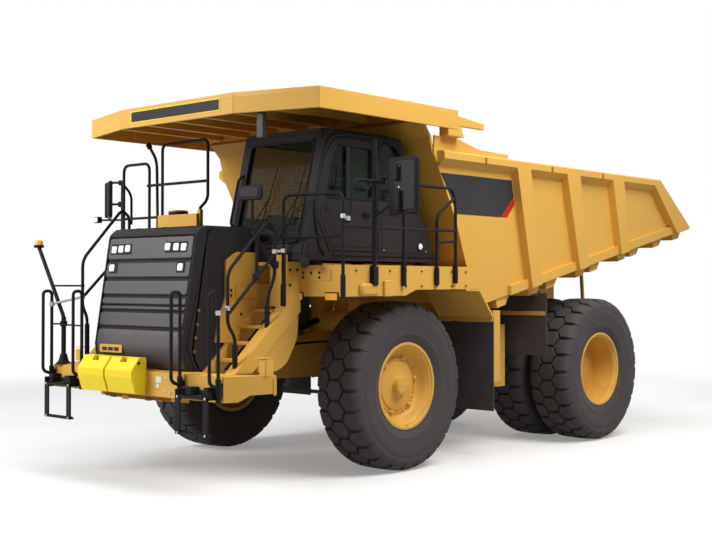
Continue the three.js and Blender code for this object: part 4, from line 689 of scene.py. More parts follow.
def rear_rims(side):
    """The dual rims: an outer lock ring, the deep barrel, the bolted drive flange and the inner barrel."""
    d = (REAR_OUTER_X - REAR_INNER_X) / 2
    profile = [
        (40, 338), (60, 336), (200, 330), (236, 322), (250, 306), (300, 300), (330, 296), (338, 282),
        (412, 278), (420, 268), (440, 264),
        (462, 268), (468, 300), (472, d + 100), (480, d + 180), (478, d + 210), (488, d + 226), (492, d + 244),
        (500, d + 250), (504, d + 266), (512, d + 273), (532, d + 276), (541, d + 271), (542, d + 262),
        (520, d + 248),
        (509, d + 232), (509, d - 232), (542, d - 262), (542, d - 272), (470, d - 272), (470, -d + 272),
        (542, -d + 272),
        (509, -d + 232), (509, -d - 232), (542, -d - 264), (541, -d - 272), (500, -d - 272), (470, -150),
        (193, -120),
        (193, 190),
    ]
    middle = np.array((side * HUB_MID, REAR_WHEEL_Y, AXLE_Z), float)
    out = np.array((side, 0, 0), float)
    shapes = [turned(profile, middle, side, 96)]
    shapes.append(bolts(circle_places(middle + out * 268, 388, 40), out, 11, 20))
    shapes.append(bolts(circle_places(middle + out * 297, 314, 24), out, 9, 12))
    shapes.append(bolts(circle_places(middle + out * 332, 120, 3), out, 9, 10))
    return shapes


class TRUCK_OT_wheels(BuildOperator, bpy.types.Operator):
    """Builds the six treaded tyres and the bolted rims"""

    bl_idname = "truck.wheels"
    bl_label = "Wheels"

    def execute(self, context):
        for side, name in ((1, "left"), (-1, "right")):
            front, rear = f"{name}_front_wheel", f"{name}_rear_wheels"
            x = side * FRONT_WHEEL_X
            piece(f"{name}_front_tread", [tyre(x, 0, side)], "tyre_rubber", front, [f"{name}_front_tyre"])
            piece(f"{name}_front_wheel_disc", front_rim(x, side), "yellow_paint", front, [f"{name}_front_rim"])
            for row, place in (("outer", REAR_OUTER_X), ("inner", REAR_INNER_X)):
                shape = [tyre(side * place, REAR_WHEEL_Y, side)]
                node = f"{name}_rear_{row}_tyre"
                piece(f"{name}_rear_{row}_tread", shape, "tyre_rubber", rear, [node])
            discs = rear_rims(side)
            piece(f"{name}_rear_wheel_discs", discs, "yellow_paint", rear, [f"{name}_rear_rims"])
        return {"FINISHED"}


# ---- Stage ----

CAMERA_PLACE = (11.1611, -11.2921, 2.3216)  # metres, Y from the front axle
CAMERA_TURN = (90.7999, -0.04, 41.9583)  # degrees
CAMERA_LENS = 59.507  # millimetres, for a sensor 36 wide
FLOOR_REACH = 60.0  # metres from the middle to each side
WORLD_LIGHT = 0.16
FLOOR_GLOW = 0.26  # share of plain white in the floor near the truck


class TRUCK_OT_stage(BuildOperator, bpy.types.Operator):
    """Builds the floor, the lights, the pale surroundings and the camera"""

    bl_idname = "truck.stage"
    bl_label = "Stage"

    def execute(self, context):
        scene = context.scene
        scene.view_settings.view_transform = "Standard"
        mesh = bpy.data.meshes.new("floor")
        far = FLOOR_REACH
        mesh.from_pydata([(-far, -far, 0), (far, -far, 0), (far, far, 0), (-far, far, 0)], [], [(0, 1, 2, 3)])
        floor = bpy.data.objects.new("floor", mesh)
        scene.collection.objects.link(floor)
        s = Sheet("pale_floor")
        x, y, _ = s.axes()
        far_off = ((x * x + y * y) ** 0.5).fade(9.0, 16.0)
        path = s.tree.nodes.new("ShaderNodeLightPath")
        seen = Value(s, path.outputs["Is Camera Ray"]) + Value(s, path.outputs["Is Transmission Ray"])
        seen = seen + Value(s, path.outputs["Is Glossy Ray"])
        bright = s.between(seen, (0.4, 0.4, 0.4, 1), (0.95, 0.95, 0.95, 1))
        lit = s.node("ShaderNodeBsdfDiffuse", None, {"Color": bright})
        white = s.node("ShaderNodeEmission", None, {"Color": (1, 1, 1, 1), "Strength": 1.0})
        share = seen * (FLOOR_GLOW + far_off * (1 - FLOOR_GLOW))
        mixed = s.node("ShaderNodeMixShader", None, {0: share, 1: lit, 2: white})
        out = s.tree.nodes.new("ShaderNodeOutputMaterial")
        s.tree.links.new(mixed.socket, out.inputs[0])
        mesh.materials.append(s.material)

        world = bpy.data.worlds.new("studio")
        scene.world = world
        world.use_nodes = True
        tree = world.node_tree
        tree.nodes.clear()
        path = tree.nodes.new("ShaderNodeLightPath")
        seen = tree.nodes.new("ShaderNodeMath")
        seen.operation = "MAXIMUM"
        tree.links.new(path.outputs["Is Camera Ray"], seen.inputs[0])
        tree.links.new(path.outputs["Is Transmission Ray"], seen.inputs[1])
        either = tree.nodes.new("ShaderNodeMath")
        either.operation = "MAXIMUM"
        tree.links.new(seen.outputs[0], either.inputs[0])
        tree.links.new(path.outputs["Is Glossy Ray"], either.inputs[1])
        soft, white = tree.nodes.new("ShaderNodeBackground"), tree.nodes.new("ShaderNodeBackground")
        soft.inputs["Color"].default_value = (0.96, 0.98, 1, 1)
        soft.inputs["Strength"].default_value = WORLD_LIGHT
        white.inputs["Strength"].default_value = 1.0
        white.inputs["Color"].default_value = (1, 1, 1, 1)
        mix, out = tree.nodes.new("ShaderNodeMixShader"), tree.nodes.new("ShaderNodeOutputWorld")
        tree.links.new(either.outputs[0], mix.inputs[0])
        tree.links.new(soft.outputs[0], mix.inputs[1])
        tree.links.new(white.outputs[0], mix.inputs[2])
        tree.links.new(mix.outputs[0], out.inputs[0])

        lights = (
            ("key", (8.0, -1.0, 11.0), 7.0, 1400.0, (1.0, 0.985, 0.96)),
            ("front", (-5.0, -13.0, 7.5), 6.0, 1300.0, (1.0, 1.0, 1.0)),
            ("top", (0.0, 0.5, 20.0), 12.0, 1750.0, (1.0, 1.0, 1.0)),
            ("back", (-6.0, 12.0, 7.0), 6.0, 420.0, (1.0, 1.0, 1.0)),
        )
        for name, place, size, power, colour in lights:
            lamp = bpy.data.lights.new(name, "AREA")
            lamp.size, lamp.energy, lamp.color = size, power, colour
            holder = bpy.data.objects.new(name, lamp)
            holder.location = place
            aim = np.array((0, -0.5, 1.5)) - np.array(place)
            pitch = math.atan2(math.hypot(aim[0], aim[1]), -aim[2])
            holder.rotation_euler = (pitch, 0, math.atan2(-aim[0], aim[1]))
            scene.collection.objects.link(holder)

        view = bpy.data.cameras.new("camera")
        view.sensor_width, view.lens = 36.0, CAMERA_LENS
        view.clip_end = 300.0
        camera = bpy.data.objects.new("camera", view)
        camera.location = (CAMERA_PLACE[0], CAMERA_PLACE[1] + AXLE_Y, CAMERA_PLACE[2])
        camera.rotation_euler = [math.radians(angle) for angle in CAMERA_TURN]
        scene.collection.objects.link(camera)
        scene.camera = camera
        return {"FINISHED"}


class TRUCK_OT_finishes(BuildOperator, bpy.types.Operator):
    """Gives every CAD piece that stays in view its finish"""

    bl_idname = "truck.finishes"
    bl_label = "Finishes"

    def execute(self, context):
        for row in frame["record"]["subparts"]:
            node = frame["nodes"][row["node"]]
            material = finish_named(row["material_slot"])
            node.data.materials.clear()
            node.data.materials.append(material)
        return {"FINISHED"}


# ---- Grille and hood ----

GRILLE_LEAN = 0.16127  # how far the front leans back for each step up
GRILLE_LINE = [
    (1308, -2591), (1345, -2640), (1388, -2671), (1440, -2700), (1502, -2719), (1592, -2731), (2859, -2526.7)
]
GRILLE_LINE += [(2900, -2515), (2925, -2492), (2950, -2465), (2972, -2430)]
GRILLE_HALF = 829
HOOD_HALF = 860


def grille_front(z):
    """The place along Y of the grille's front at a height."""
    line = np.array(GRILLE_LINE, float)
    return np.interp(z, line[:, 0], line[:, 1])


def loft(rings):
    """Closed rings of equally many points joined one after another, with both ends closed."""
    p = np.array(rings, float)
    rows, n = p.shape[:2]
    last = (rows - 1) * n
    faces = [grid_faces(rows, n, False, True), np.arange(n)[None, ::-1], np.arange(last, last + n)[None, :]]
    return p.reshape(-1, 3), faces


def on_grille(x, z, proud=0.0):
    """A point on the grille's leaning front, a little proud of it."""
    return np.array((x, grille_front(z) - proud, z), float)


def grille_panel(low, high, proud=2.0, half=790, corner=34):
    """One slat: a rounded plate that lies along the leaning front, its edges drawn in."""
    mid = (low + high) / 2
    return plate(on_grille(0, mid, -36), LEFT, (0, GRILLE_LEAN, 1), half * 2, high - low, 36 + proud, corner, 10)


class TRUCK_OT_grille(BuildOperator, bpy.types.Operator):
    """Builds the slatted grille, its lamps and the hood's trim"""

    bl_idname = "truck.grille"
    bl_label = "Grille and hood"

    def execute(self, context):
        heights = [z for z, _ in GRILLE_LINE]
        rings = []
        for z in heights:
            f = grille_front(z) + 30
            ring = [(-GRILLE_HALF, f), (GRILLE_HALF, f), (HOOD_HALF - 2, f + 100), (HOOD_HALF - 2, f + 160)]
            ring += [(-HOOD_HALF + 2, f + 160), (-HOOD_HALF + 2, f + 100)]
            rings.append([(x, y, z) for x, y in ring])
        backing = loft(rings)
        corner = []
        for z in heights:
            f = grille_front(z)
            ring = [
                (GRILLE_HALF - 26, f + 2), (GRILLE_HALF - 2, f), (HOOD_HALF, f + 118), (HOOD_HALF, f + 150),
                (GRILLE_HALF - 26, f + 60)
            ]
            corner.append([(x, y, z) for x, y in ring])
        corner = loft(corner)
        panels = [grille_panel(2603, 2866), grille_panel(2388, 2567), grille_panel(2183, 2352)]
        panels += [grille_panel(2068, 2148), grille_panel(2006, 2048), grille_panel(1808, 1974)]
        foot = []
        for z in np.linspace(1330, 1772, 12):
            f = grille_front(z)
            draw = 12 * max(0.0, (z - 1750) / 22)
            foot.append([(-790, f + 34, z), (-790, f + draw + 2, z), (790, f + draw + 2, z), (790, f + 34, z)])
        foot = loft(foot)
        piece(
            "grille_slats", [*panels, foot], "grille_mould", "chassis", ["radiator_grille"], slot="black_paint",
            bevel=6
        )
        lip = loft(
            [
                [
                    (x, grille_front(z) + dy, z)
                    for z, dy in ((2880, 4), (2900, 0), (2925, 0), (2950, 0), (2970, 6), (2974, 60), (2900, 60))
                ]
                for x in (-GRILLE_HALF + 12, GRILLE_HALF - 12)
            ]
        )
        piece("grille_frame", [backing, corner, mirrored(corner), lip], "black_paint", bevel=6)
        bezels, lamps = [], []
        for x, z, w, h in (
            (-536, 2733, 400, 128), (500, 2742, 400, 128), (-640, 2508, 150, 128), (626, 2508, 150, 128)
        ):
            bezels.append(plate(on_grille(x, z, 0), LEFT, (0, GRILLE_LEAN, 1), w, h, 9, 16, 3))
        for x, z in (
            (-667, 2729), (-536, 2735), (-404, 2741), (352, 2748), (507, 2744), (644, 2740), (-668, 2508),
            (626, 2508)
        ):
            lamps.append(plate(on_grille(x, z, 6), LEFT, (0, GRILLE_LEAN, 1), 88, 84, 16, 14, 6))
        piece("headlamp_bezels", bezels, "dark_plastic")
        piece("headlamps", lamps, "lamp_white")
        tag = [plate(on_grille(-494, 1540, 2), LEFT, UP, 440, 96, 14, 10, 3)]
        piece("lower_tag_bracket", tag, "yellow_paint")
        # Painted shade: thin dark plates stand for the shade inside the tag bracket's slots.
        slots = [plate(on_grille(x, 1536, 15), LEFT, UP, 96, 44, 4, 10) for x in (-610, -494, -378)]
        piece("lower_tag_slot_shades", slots, "panel_dark")
        top = [plate((0, -2060, 2980), LEFT, BACK, 1640, 660, 10, 60, 4)]
        for x in (-500, 0, 500):
            top.append(plate((x, -2060, 2986), LEFT, BACK, 60, 560, 12, 20, 5))
        sides = [plate((s * 858, -2080, 2200), (0, s, 0), UP, 560, 1300, 9, 60, 4) for s in (1, -1)]
        vents = []
        for k in range(9):
            z = 1700 + 42 * k
            vents += [block(*sorted((s * 862, s * 874)), -2250, -1900, z, z + 18) for s in (1, -1)]
        piece("hood_panels", top + sides + vents, "black_paint", bevel=3)
        places = [(868, y, z) for y, z in ((-2520, 2010), (-2540, 1850), (-2565, 1700), (-2585, 1545))]
        piece("hood_bolts", [bolts(places, LEFT, 17, 12), mirrored(bolts(places, LEFT, 17, 12))], "brass_bolt")
        return {"FINISHED"}


# ---- Bumper, ladders and push blocks ----

BUMPER_Y = -2796
GRAB_Y = -2846


def grab_loop(x):
    """A looped grab rail beside the ladder, its outer leg well off the bumper."""
    outer = GRAB_Y - 125
    loop = tube(
        [(x, GRAB_Y, 1040), (x, GRAB_Y, 2225), (x, outer, 2225), (x, outer, 1230), (x, GRAB_Y, 1190)], 20, 90
    )
    return [loop, sleeve(x, GRAB_Y, 1030, 1290)]


def ladder():
    """The lower ladder: two straps, two treads and the brackets that carry it."""
    y0, y1 = BUMPER_Y - 174, BUMPER_Y - 1
    parts = [
        block(994, 1074, y0, y0 + 20, 665, 1090),
        block(1459, 1539, y0, y0 + 20, 665, 1090),
        block(999, 1534, y0, y0 + 60, 665, 690),
        block(999, 1534, y0, y0 + 60, 1065, 1090),
        block(994, 1014, y0, y1, 1060, 1160),
        block(1519, 1539, y0, y1, 1060, 1160),
        block(1100, 1200, y0 + 60, y1, 1090, 1185),
        block(1430, 1500, y0 + 40, y1, 1090, 1195),
        block(910, 1592, GRAB_Y + 16, y1, 1090, 1150),
        block(890, 960, GRAB_Y + 20, y1, 1180, 1240),
        block(1545, 1600, GRAB_Y + 20, y1, 1180, 1240),
    ]
    for k in range(12):
        x = 1020 + 45 * k
        parts.append(block(x, x + 14, y0 + 4, y0 + 56, 1088, 1098))
        parts.append(block(x, x + 14, y0 + 4, y0 + 56, 688, 697))
    return parts


class TRUCK_OT_front_end(BuildOperator, bpy.types.Operator):
    """Builds the ladders, grab rails and beacon, and the bumper's small parts"""

    bl_idname = "truck.front_end"
    bl_label = "Front end"

    def execute(self, context):
        edge = context.scene.truck_sizes.edge
        loops = grab_loop(930) + grab_loop(1572)
        left, right = joined(ladder()), joined(loops)
        piece("left_lower_ladder", [left], "tube_black", "chassis", ["left_ladder"], bevel=3)
        piece("left_grab_rails", [right], "tube_black")
        piece("right_lower_ladder", [mirrored(left)], "tube_black", "chassis", ["right_ladder"], bevel=3)
        piece("right_grab_rails", [mirrored(right)], "tube_black")
        corners = [(x, BUMPER_Y - 175, z) for x in (1034, 1499) for z in (680, 1078)]
        heads = bolts(corners, FRONT, 12, 9)
        piece("ladder_bolts", [heads, mirrored(heads)], "zinc_plate")
        x, y = -1460, BUMPER_Y + 50
        pole = [
            drum([(x, y, z) for z in (1309, 1325, 1350, 1410, 1440)], [92, 92, 64, 48, 40], 20),
            bar((x, y, 1400), (x, y, 1900), 30),
            tube([(x, y, 1800), (x, y, 1900), (x - 560, y, 2790)], 25, 60, 14),
            drum([(x, y, 1780), (x, y, 1785), (x, y, 1845), (x, y, 1850)], [38, 46, 46, 38], 14),
            bar((x, y, 1812), (-1572, GRAB_Y, 1812), 11, 10),
            bar((x, y, 1802), (-930, GRAB_Y, 1802), 11, 10),
            drum([(x - 560, y, z) for z in (2776, 2784, 2806, 2812)], [50, 66, 66, 60], 24),
            tube([(-1368, -2500, 2290), (x - 110, y, 2290), (x - 250, y, 2290)], 12, 30, 10),
        ]
        piece("beacon_pole", pole, "tube_black")
        dome = drum([(x - 560, y, z) for z in (2810, 2814, 2850, 2870, 2880)], [50, 56, 56, 46, 20], 24)
        piece("beacon_lens", [dome], "lamp_amber")
        small = [
            plate((444 + 54, BUMPER_Y, 1222), LEFT, UP, 108, 72, 4, 6),
            plate((480, BUMPER_Y, 1150), LEFT, UP, 62, 52, 4, 6)
        ]
        piece("bumper_plates", small, "plate_white")
        face = np.array((math.sin(math.radians(20.5)), math.cos(math.radians(20.5)), 0))
        out = np.array((face[1], -face[0], 0))
        trims = []
        end = np.array((1818, -2211, 0)) + out * 1
        trims.append(plate(np.array((1700, -2290, 1492)), LEFT, BACK, 150, 150, 6, 16, 2))
        trims.append(plate(end - face * 20 + (0, 0, 1180), face, UP, 40, 190, 8, 10, 3))
        trims += [
            block(-180, -60, BUMPER_Y - 8, BUMPER_Y, 960, 1010),
            plate((1735, -2341, 1395), LEFT, UP, 96, 150, 5, 12, 2)
        ]
        trims += [plate((0, BUMPER_Y + 150, 1309), LEFT, BACK, 3000, 230, 6, 40, 3)]
        piece("bumper_trims", trims + [mirrored(t) for t in trims[:2] + trims[3:4]], "yellow_paint", bevel=edge)
        under = [
            [
                (-640, BUMPER_Y + 52, 1028), (640, BUMPER_Y + 52, 1028), (600, BUMPER_Y + 66, 968),
                (-600, BUMPER_Y + 66, 968)
            ]
        ]
        under += [
            [
                (-640, BUMPER_Y + 300, 1028), (640, BUMPER_Y + 300, 1028), (600, BUMPER_Y + 300, 940),
                (-600, BUMPER_Y + 300, 940)
            ]
        ]
        skid = [loft(under)] + [
            block(x, x + 90, BUMPER_Y + 45, BUMPER_Y + 80, 962, 990)
            for x in (-480, -250, 180, 420)
        ]
        # Painted shade: the guard under the bumper takes the yellow as seen in shade.
        piece("skid_guard", skid, "guard_primer", bevel=4)
        heads = []
        for x in (-1450, -1250, -880, 700, 880, 1250, 1450):
            heads.append((x, BUMPER_Y, 1075))
        holes = bolts([(x, BUMPER_Y + 1, z) for x in (620, 700) for z in (1090, 1240)], FRONT, 13, 9)
        piece("bumper_bolts", [bolts(heads, FRONT, 13, 10), holes], "zinc_plate")
        pins = []
        for x in (-522, 18):
            pins.append(drum([(x, BUMPER_Y - 105, z) for z in (1346, 1352, 1388, 1400)], [44, 44, 44, 34], 20))
        piece("towing_pins", pins, "cast_grey")
        bosses = [
            bar((250, -2790 - 120, 1405), (284, -2790 - 120, 1405), 17, 14),
            bar((-255, -2860, 1405), (-222, -2860, 1405), 17, 14)
        ]
        piece("push_block_bolts", bosses, "panel_dark")
        return {"FINISHED"}


# ---- Stairs ----

STAIR_IN, STAIR_OUT, STRINGER, STAIR_HEAD_Y = 900, 1450, 170, -1700
STAIR_RAIL_X = 1368
RAIL_FRONT = -2530


def stair():
    """One stair's plates, in the same outlines as its CAD solid."""

    def stringer(head):
        return [
            (-2500, 1309), (STAIR_HEAD_Y, 2045), (STAIR_HEAD_Y, head), (-1461, head), (-1461, 1990),
            (-2230, 1309)
        ]

    gusset = [
        (-2130, 1309), (-1815, 1309), (-1651, 1394), (-1480, 1682), (-1470, 1900), (-1470, 2060), (-2100, 1500)
    ]
    inner = [
        (-2303, 1637), (-2039, 1627), (-1700, 1950), (-1461, 2100), (-1461, 2523), (-1672, 2523), (-1672, 2690)
    ]
    inner += [(-1971, 2690), (-2139, 2587), (-2139, 2165), (-2245, 1912)]
    parts = [
        slab(stringer(2578), "x", STAIR_OUT - STRINGER, STAIR_OUT),
        block(STAIR_OUT - STRINGER, STAIR_OUT, STAIR_HEAD_Y, -1672, 2568, 2655),
        slab(rounded(gusset, 60, 3), "x", STAIR_OUT - 60, STAIR_OUT - 30),
        slab(rounded(inner, 18, 2), "x", 872, 902),
        slab(stringer(2320), "x", STAIR_IN, STAIR_IN + 50),
        block(872, 920, -2000, -1461, 2150, 2300),
        block(1180, 1290, -1700, -1600, 2050, 2560),
    ]
    for k in range(4):
        s = (k + 0.6) / 4
        y, z = -2450 + 750 * s, 1318 + 742 * s
        parts.append(block(STAIR_IN + 10, STAIR_OUT - STRINGER + 10, y, y + 240, z, z + 30))
        for row in range(5):
            parts.append(
                block(
                    STAIR_IN + 60, STAIR_OUT - STRINGER - 10, y + 14 + 46 * row, y + 26 + 46 * row, z + 28,
                    z + 35
                )
            )
    return parts


def stair_rail(rise, back):
    """The rail that climbs beside the stair, raised by a height, its foot set back."""
    x, foot = STAIR_RAIL_X, RAIL_FRONT + back
    main = [(x, foot, 1390), (x, foot, 1720 + rise), (x, RAIL_FRONT, 1860 + rise), (x, RAIL_FRONT, 2450 + rise)]
    main += [
        (x, -1930, 3035 + 1.4 * rise), (x, -1807, 2960 + 1.4 * rise), (x, -1807, 2400), (x, -1926, 2150),
        (x, -1926, 1850)
    ]
    return [
        sleeve(x, foot, 1370, 1640 + rise),
        tube(main, bpy.context.scene.truck_sizes.rail_radius, 100),
        sleeve(x, -1926, 1810, 2075),
        bar((x, RAIL_FRONT, 1970 + rise), (x, -1807, 2660 + rise), 19, 12),
    ]


def clamp(middle, size):
    """A knuckle that joins two rails: a short waisted drum."""
    x, y, z = middle
    return drum(
        [(x, y, z - size), (x, y, z - size * 0.7), (x, y, z + size * 0.7), (x, y, z + size)],
        [size * 0.7, size, size, size * 0.7], 8
    )


def link(a, b, radius=16):
    """A plated link between two rails: a bar with a collar round each rail's place."""
    a, b = np.array(a, float), np.array(b, float)
    collars = []
    for p in (a, b):
        collars.append(drum([p + (0, 0, z) for z in (-26, -22, 22, 26)], [27, 32, 32, 27], 14))
    return [bar(a, b, radius, 12)] + collars


class TRUCK_OT_stairs(BuildOperator, bpy.types.Operator):
    """Builds both stairs with their climbing rails and the small mirror"""

    bl_idname = "truck.stairs"
    bl_label = "Stairs"

    def execute(self, context):
        edge = context.scene.truck_sizes.edge
        steps = joined(stair())
        piece("left_stair_plates", [steps], "yellow_paint", "chassis", ["left_stair"], bevel=edge)
        piece("right_stair_plates", [mirrored(steps)], "yellow_paint", "chassis", ["right_stair"], bevel=edge)
        x = STAIR_RAIL_X
        stalk = [
            tube(
                [(x, -2110, 2380), (x, -2088, 2480), (x, -2088, 2850), (x, -2160, 2980), (x, -2160, 3300)], 20,
                80
            ),
            tube([(x, -2105, 2880), (x, -1868, 2540), (x, -1790, 2520)], 16, 60),
            tube([(x, -1868, 2540), (x, -1780, 2560)], 16, 60),
            tube([(x, -2090, 2700), (x, -2070, 2900), (x, -1960, 2985), (x, -1850, 2940)], 16, 80),
            clamp((x, -2100, 2395), 44),
            clamp((x, -1800, 2535), 44),
            clamp((x, -1807, 2880), 36),
        ]
        piece("left_stair_rail", stair_rail(0, 110) + stalk, "tube_black")
        piece("right_stair_rail", [mirrored(joined(stair_rail(170, 70)))], "tube_black")
        housing = plate((x, -2165, 3350), LEFT, UP, 380, 172, 40, 60, 12)
        piece("stair_mirror", [housing], "tube_black", bevel=4)
        cap = plate((x, -2204, 3352), LEFT, UP, 300, 110, 12, 44, 8)
        piece("stair_mirror_cap", [cap], "panel_dark", slot="dark_plastic")
        back = plate((x, -2168, 3350), RIGHT, UP, 330, 130, 5, 44, 2)
        piece("stair_mirror_glass", [back], "mirror_glass")
        clamps = link((1432, -1730, 2700), (x, -1807, 2690)) + link((2160, -1500, 3085), (2160, -1420, 3060), 20)
        clamps += link((1572, -2846, 2000), (x, -2532, 2045))
        clamps += [mirrored(joined(link((1572, -2846, 2060), (x, -2532, 2150))))]
        piece("rail_clamps", clamps, "zinc_plate")
        inner = [
            (903, y, z)
            for y, z in (
                (-2060, 2240), (-2060, 2180), (-1850, 2220), (-1560, 2240), (-1900, 1960), (-2080, 1820),
                (-1650, 2450)
            )
        ]
        outer = [(1451, y, z) for y, z in ((-1640, 2480), (-1520, 2480), (-1640, 2300))]
        heads = joined([bolts(inner, LEFT, 15, 10), bolts(outer, LEFT, 15, 10)])
        piece("stair_bolts", [heads, mirrored(heads)], "panel_dark")
        return {"FINISHED"}


# ---- Deck rails, mirrors and deck fittings ----

RAIL_X = 2160.3
SIDE_END = 600
MIRROR_Y = -960


def side_rail(start, top, mid):
    """The rail back along the deck's side with a mid bar under its top."""
    x = RAIL_X
    main = [(x, start, mid + 60), (x, start + 60, mid + 60), (x, start + 130, top), (x, SIDE_END - 60, top)]
    main += [(x, SIDE_END, top - 200), (x, SIDE_END, 2330)]
    return [
        tube(main, 20, 90),
        bar((x, start - 40, mid), (x, SIDE_END, mid + 20), 17, 12),
        sleeve(x, -420, 2290, 2540),
        bar((x, -420, 2300), (x, -420, top), 20, 12),
        sleeve(x, SIDE_END, 2320, 2560),
    ]


class TRUCK_OT_deck_rails(BuildOperator, bpy.types.Operator):
    """Builds the deck's handrails, the guards and the mirrors on them"""

    bl_idname = "truck.deck_rails"
    bl_label = "Deck rails"

    def execute(self, context):
        x, post, mirror_y = RAIL_X, (1432, -1730.3), MIRROR_Y
        left = [
            sleeve(x, -1500, 2150, 2420),
            tube([(x, -1500, 2160), (x, -1500, 3350), (*post, 3340), (*post, 2070)], 20, 100),
            sleeve(*post, 2057, 2314),
            bar((x, -1500, 2860), (*post, 2845), 17, 12),
            *side_rail(-1460, 3515, 2965),
            tube([(x, 220, 2330), (x, 220, 3165), (x, 560, 3390)], 20, 90),
            sleeve(x, 220, 2300, 2520),
            bar((x, 220, 2830), (x, 600, 2850), 16, 12),
            bar((x, mirror_y, 2290), (x, mirror_y, 4000), 29, 20),
            tube([(x, mirror_y, 3500), (x + 280, mirror_y + 20, 3560)], 17, 40),
            tube([(x, mirror_y, 3100), (x + 280, mirror_y + 20, 3250)], 17, 40),
            tube([(x, mirror_y, 3560), (x, mirror_y - 150, 3380), (x, mirror_y - 170, 3300)], 14, 60),
            clamp((x + 120, mirror_y + 4, 3520), 46),
            clamp((x + 120, mirror_y + 4, 3330), 40),
            block(x - 40, x + 40, mirror_y - 50, mirror_y + 30, 2300, 2520),
        ]
        piece("left_deck_rails", left, "tube_black", "chassis", ["left_deck_handrail"])
        right_x, pole = -RAIL_X, -1320
        middle, along = np.array((-2550.0, -1255.0)), np.array((0.821, -0.571))
        half = (2820 + middle[0] - 30 * 0.571) / along[0]
        inner = middle + (half - 60) * along
        y = -1420
        tall = [
            tube(
                [
                    (-1165, y, 2536), (-1165, y, 4155), (-253, y, 4155), (-253, y, 3390), (-400, y, 3290),
                    (-400, y, 3271)
                ],
                20, 90
            ),
            bar((-1480, y, 3630), (-253, y, 3630), 19, 12),
            tube([(-1250, y, 2539), (-1285, y, 3960), (-1450, y, 4160)], 20, 120),
            tube([(-1440, y, 2536), (-1440, y, 3930), (-2000, y, 3930), (-2000, y, 2536)], 20, 110),
            tube([(-1165, y, 3200), (-2050, y, 3200), (right_x, -1320, 3200)], 18, 80),
            drum([(-1425, y, 4130), (-1432, y, 4138), (-1468, y, 4182), (-1475, y, 4190)], [24, 36, 36, 24], 14),
            *[
                drum([(px, y, z) for z in (2536, 2542, 2560, 2566)], [52, 52, 34, 26], 16)
                for px in (-1165, -1440, -2000)
            ],
            mirrored(joined(side_rail(pole + 40, 3060, 2800))),
            sleeve(right_x, pole, 2290, 2540),
            bar((right_x, pole, 2300), (right_x, pole, 3745), 26, 20),
            tube([(right_x, -1170, 3140), (right_x, -1170, 3560), (right_x, pole, 3700)], 18, 90),
            bar((right_x, pole, 3720), (*inner, 3720), 16, 12),
            bar((right_x, pole, 3420), (*inner, 3420), 16, 12),
            bar((right_x, pole, 3200), (-2500, -1490, 3200), 14, 12),
            clamp((right_x - 60, pole + 10, 3420), 38),
            clamp((right_x - 60, pole + 10, 3720), 34),
        ]
        piece("right_deck_rails", tall, "tube_black", "chassis", ["right_deck_handrail"])
        back = [
            plate((2605, mirror_y + 30, 3440), LEFT, UP, 430, 660, 60, 46, 14),
            plate((2560, mirror_y - 62, 3270), LEFT, UP, 90, 240, 30, 20, 8),
            plate((2540, mirror_y - 62, 3590), LEFT, UP, 70, 200, 30, 20, 8),
        ]
        piece("left_mirror_back", back, "tube_black", bevel=4)
        cap = [plate((2650, mirror_y - 30, 3440), LEFT, UP, 290, 560, 14, 40, 9)]
        piece("left_mirror_cap", cap, "panel_dark", slot="dark_plastic")
        heads = bolts([(2570, mirror_y - 45, z) for z in (3200, 3420, 3660)], FRONT, 9, 8)
        piece("left_mirror_bolts", [heads], "zinc_plate")
        a3, centre = np.array((*along, 0)), np.array((*middle, 3495))
        across = np.array((0.571, 0.821, 0))
        shell = [plate(centre + across * 30, along.tolist() + [0], UP, half * 2, 510, 58, 50, 16)]
        shell.append(
            drum(
                [centre - across * 14 - a3 * 110 + (0, 0, z) for z in (-250, -240, 240, 262)], [20, 52, 52, 20],
                20
            )
        )
        shell.append(plate((-2510, -1452, 3205), LEFT, UP, 118, 88, 70, 22, 12))
        piece("right_mirror_back", shell, "tube_black", bevel=4)
        lamp = [plate((-2510, -1523, 3205), LEFT, UP, 92, 64, 6, 16, 3)]
        piece("right_work_lamp", lamp, "lamp_white")
        glasses = [
            plate((2605, mirror_y + 31, 3440), RIGHT, UP, 390, 620, 4, 34, 2),
            plate(centre + across * 31, (-along).tolist() + [0], UP, half * 2 - 60, 450, 4, 36, 2),
        ]
        piece("mirror_glasses", glasses, "mirror_glass")
        return {"FINISHED"}


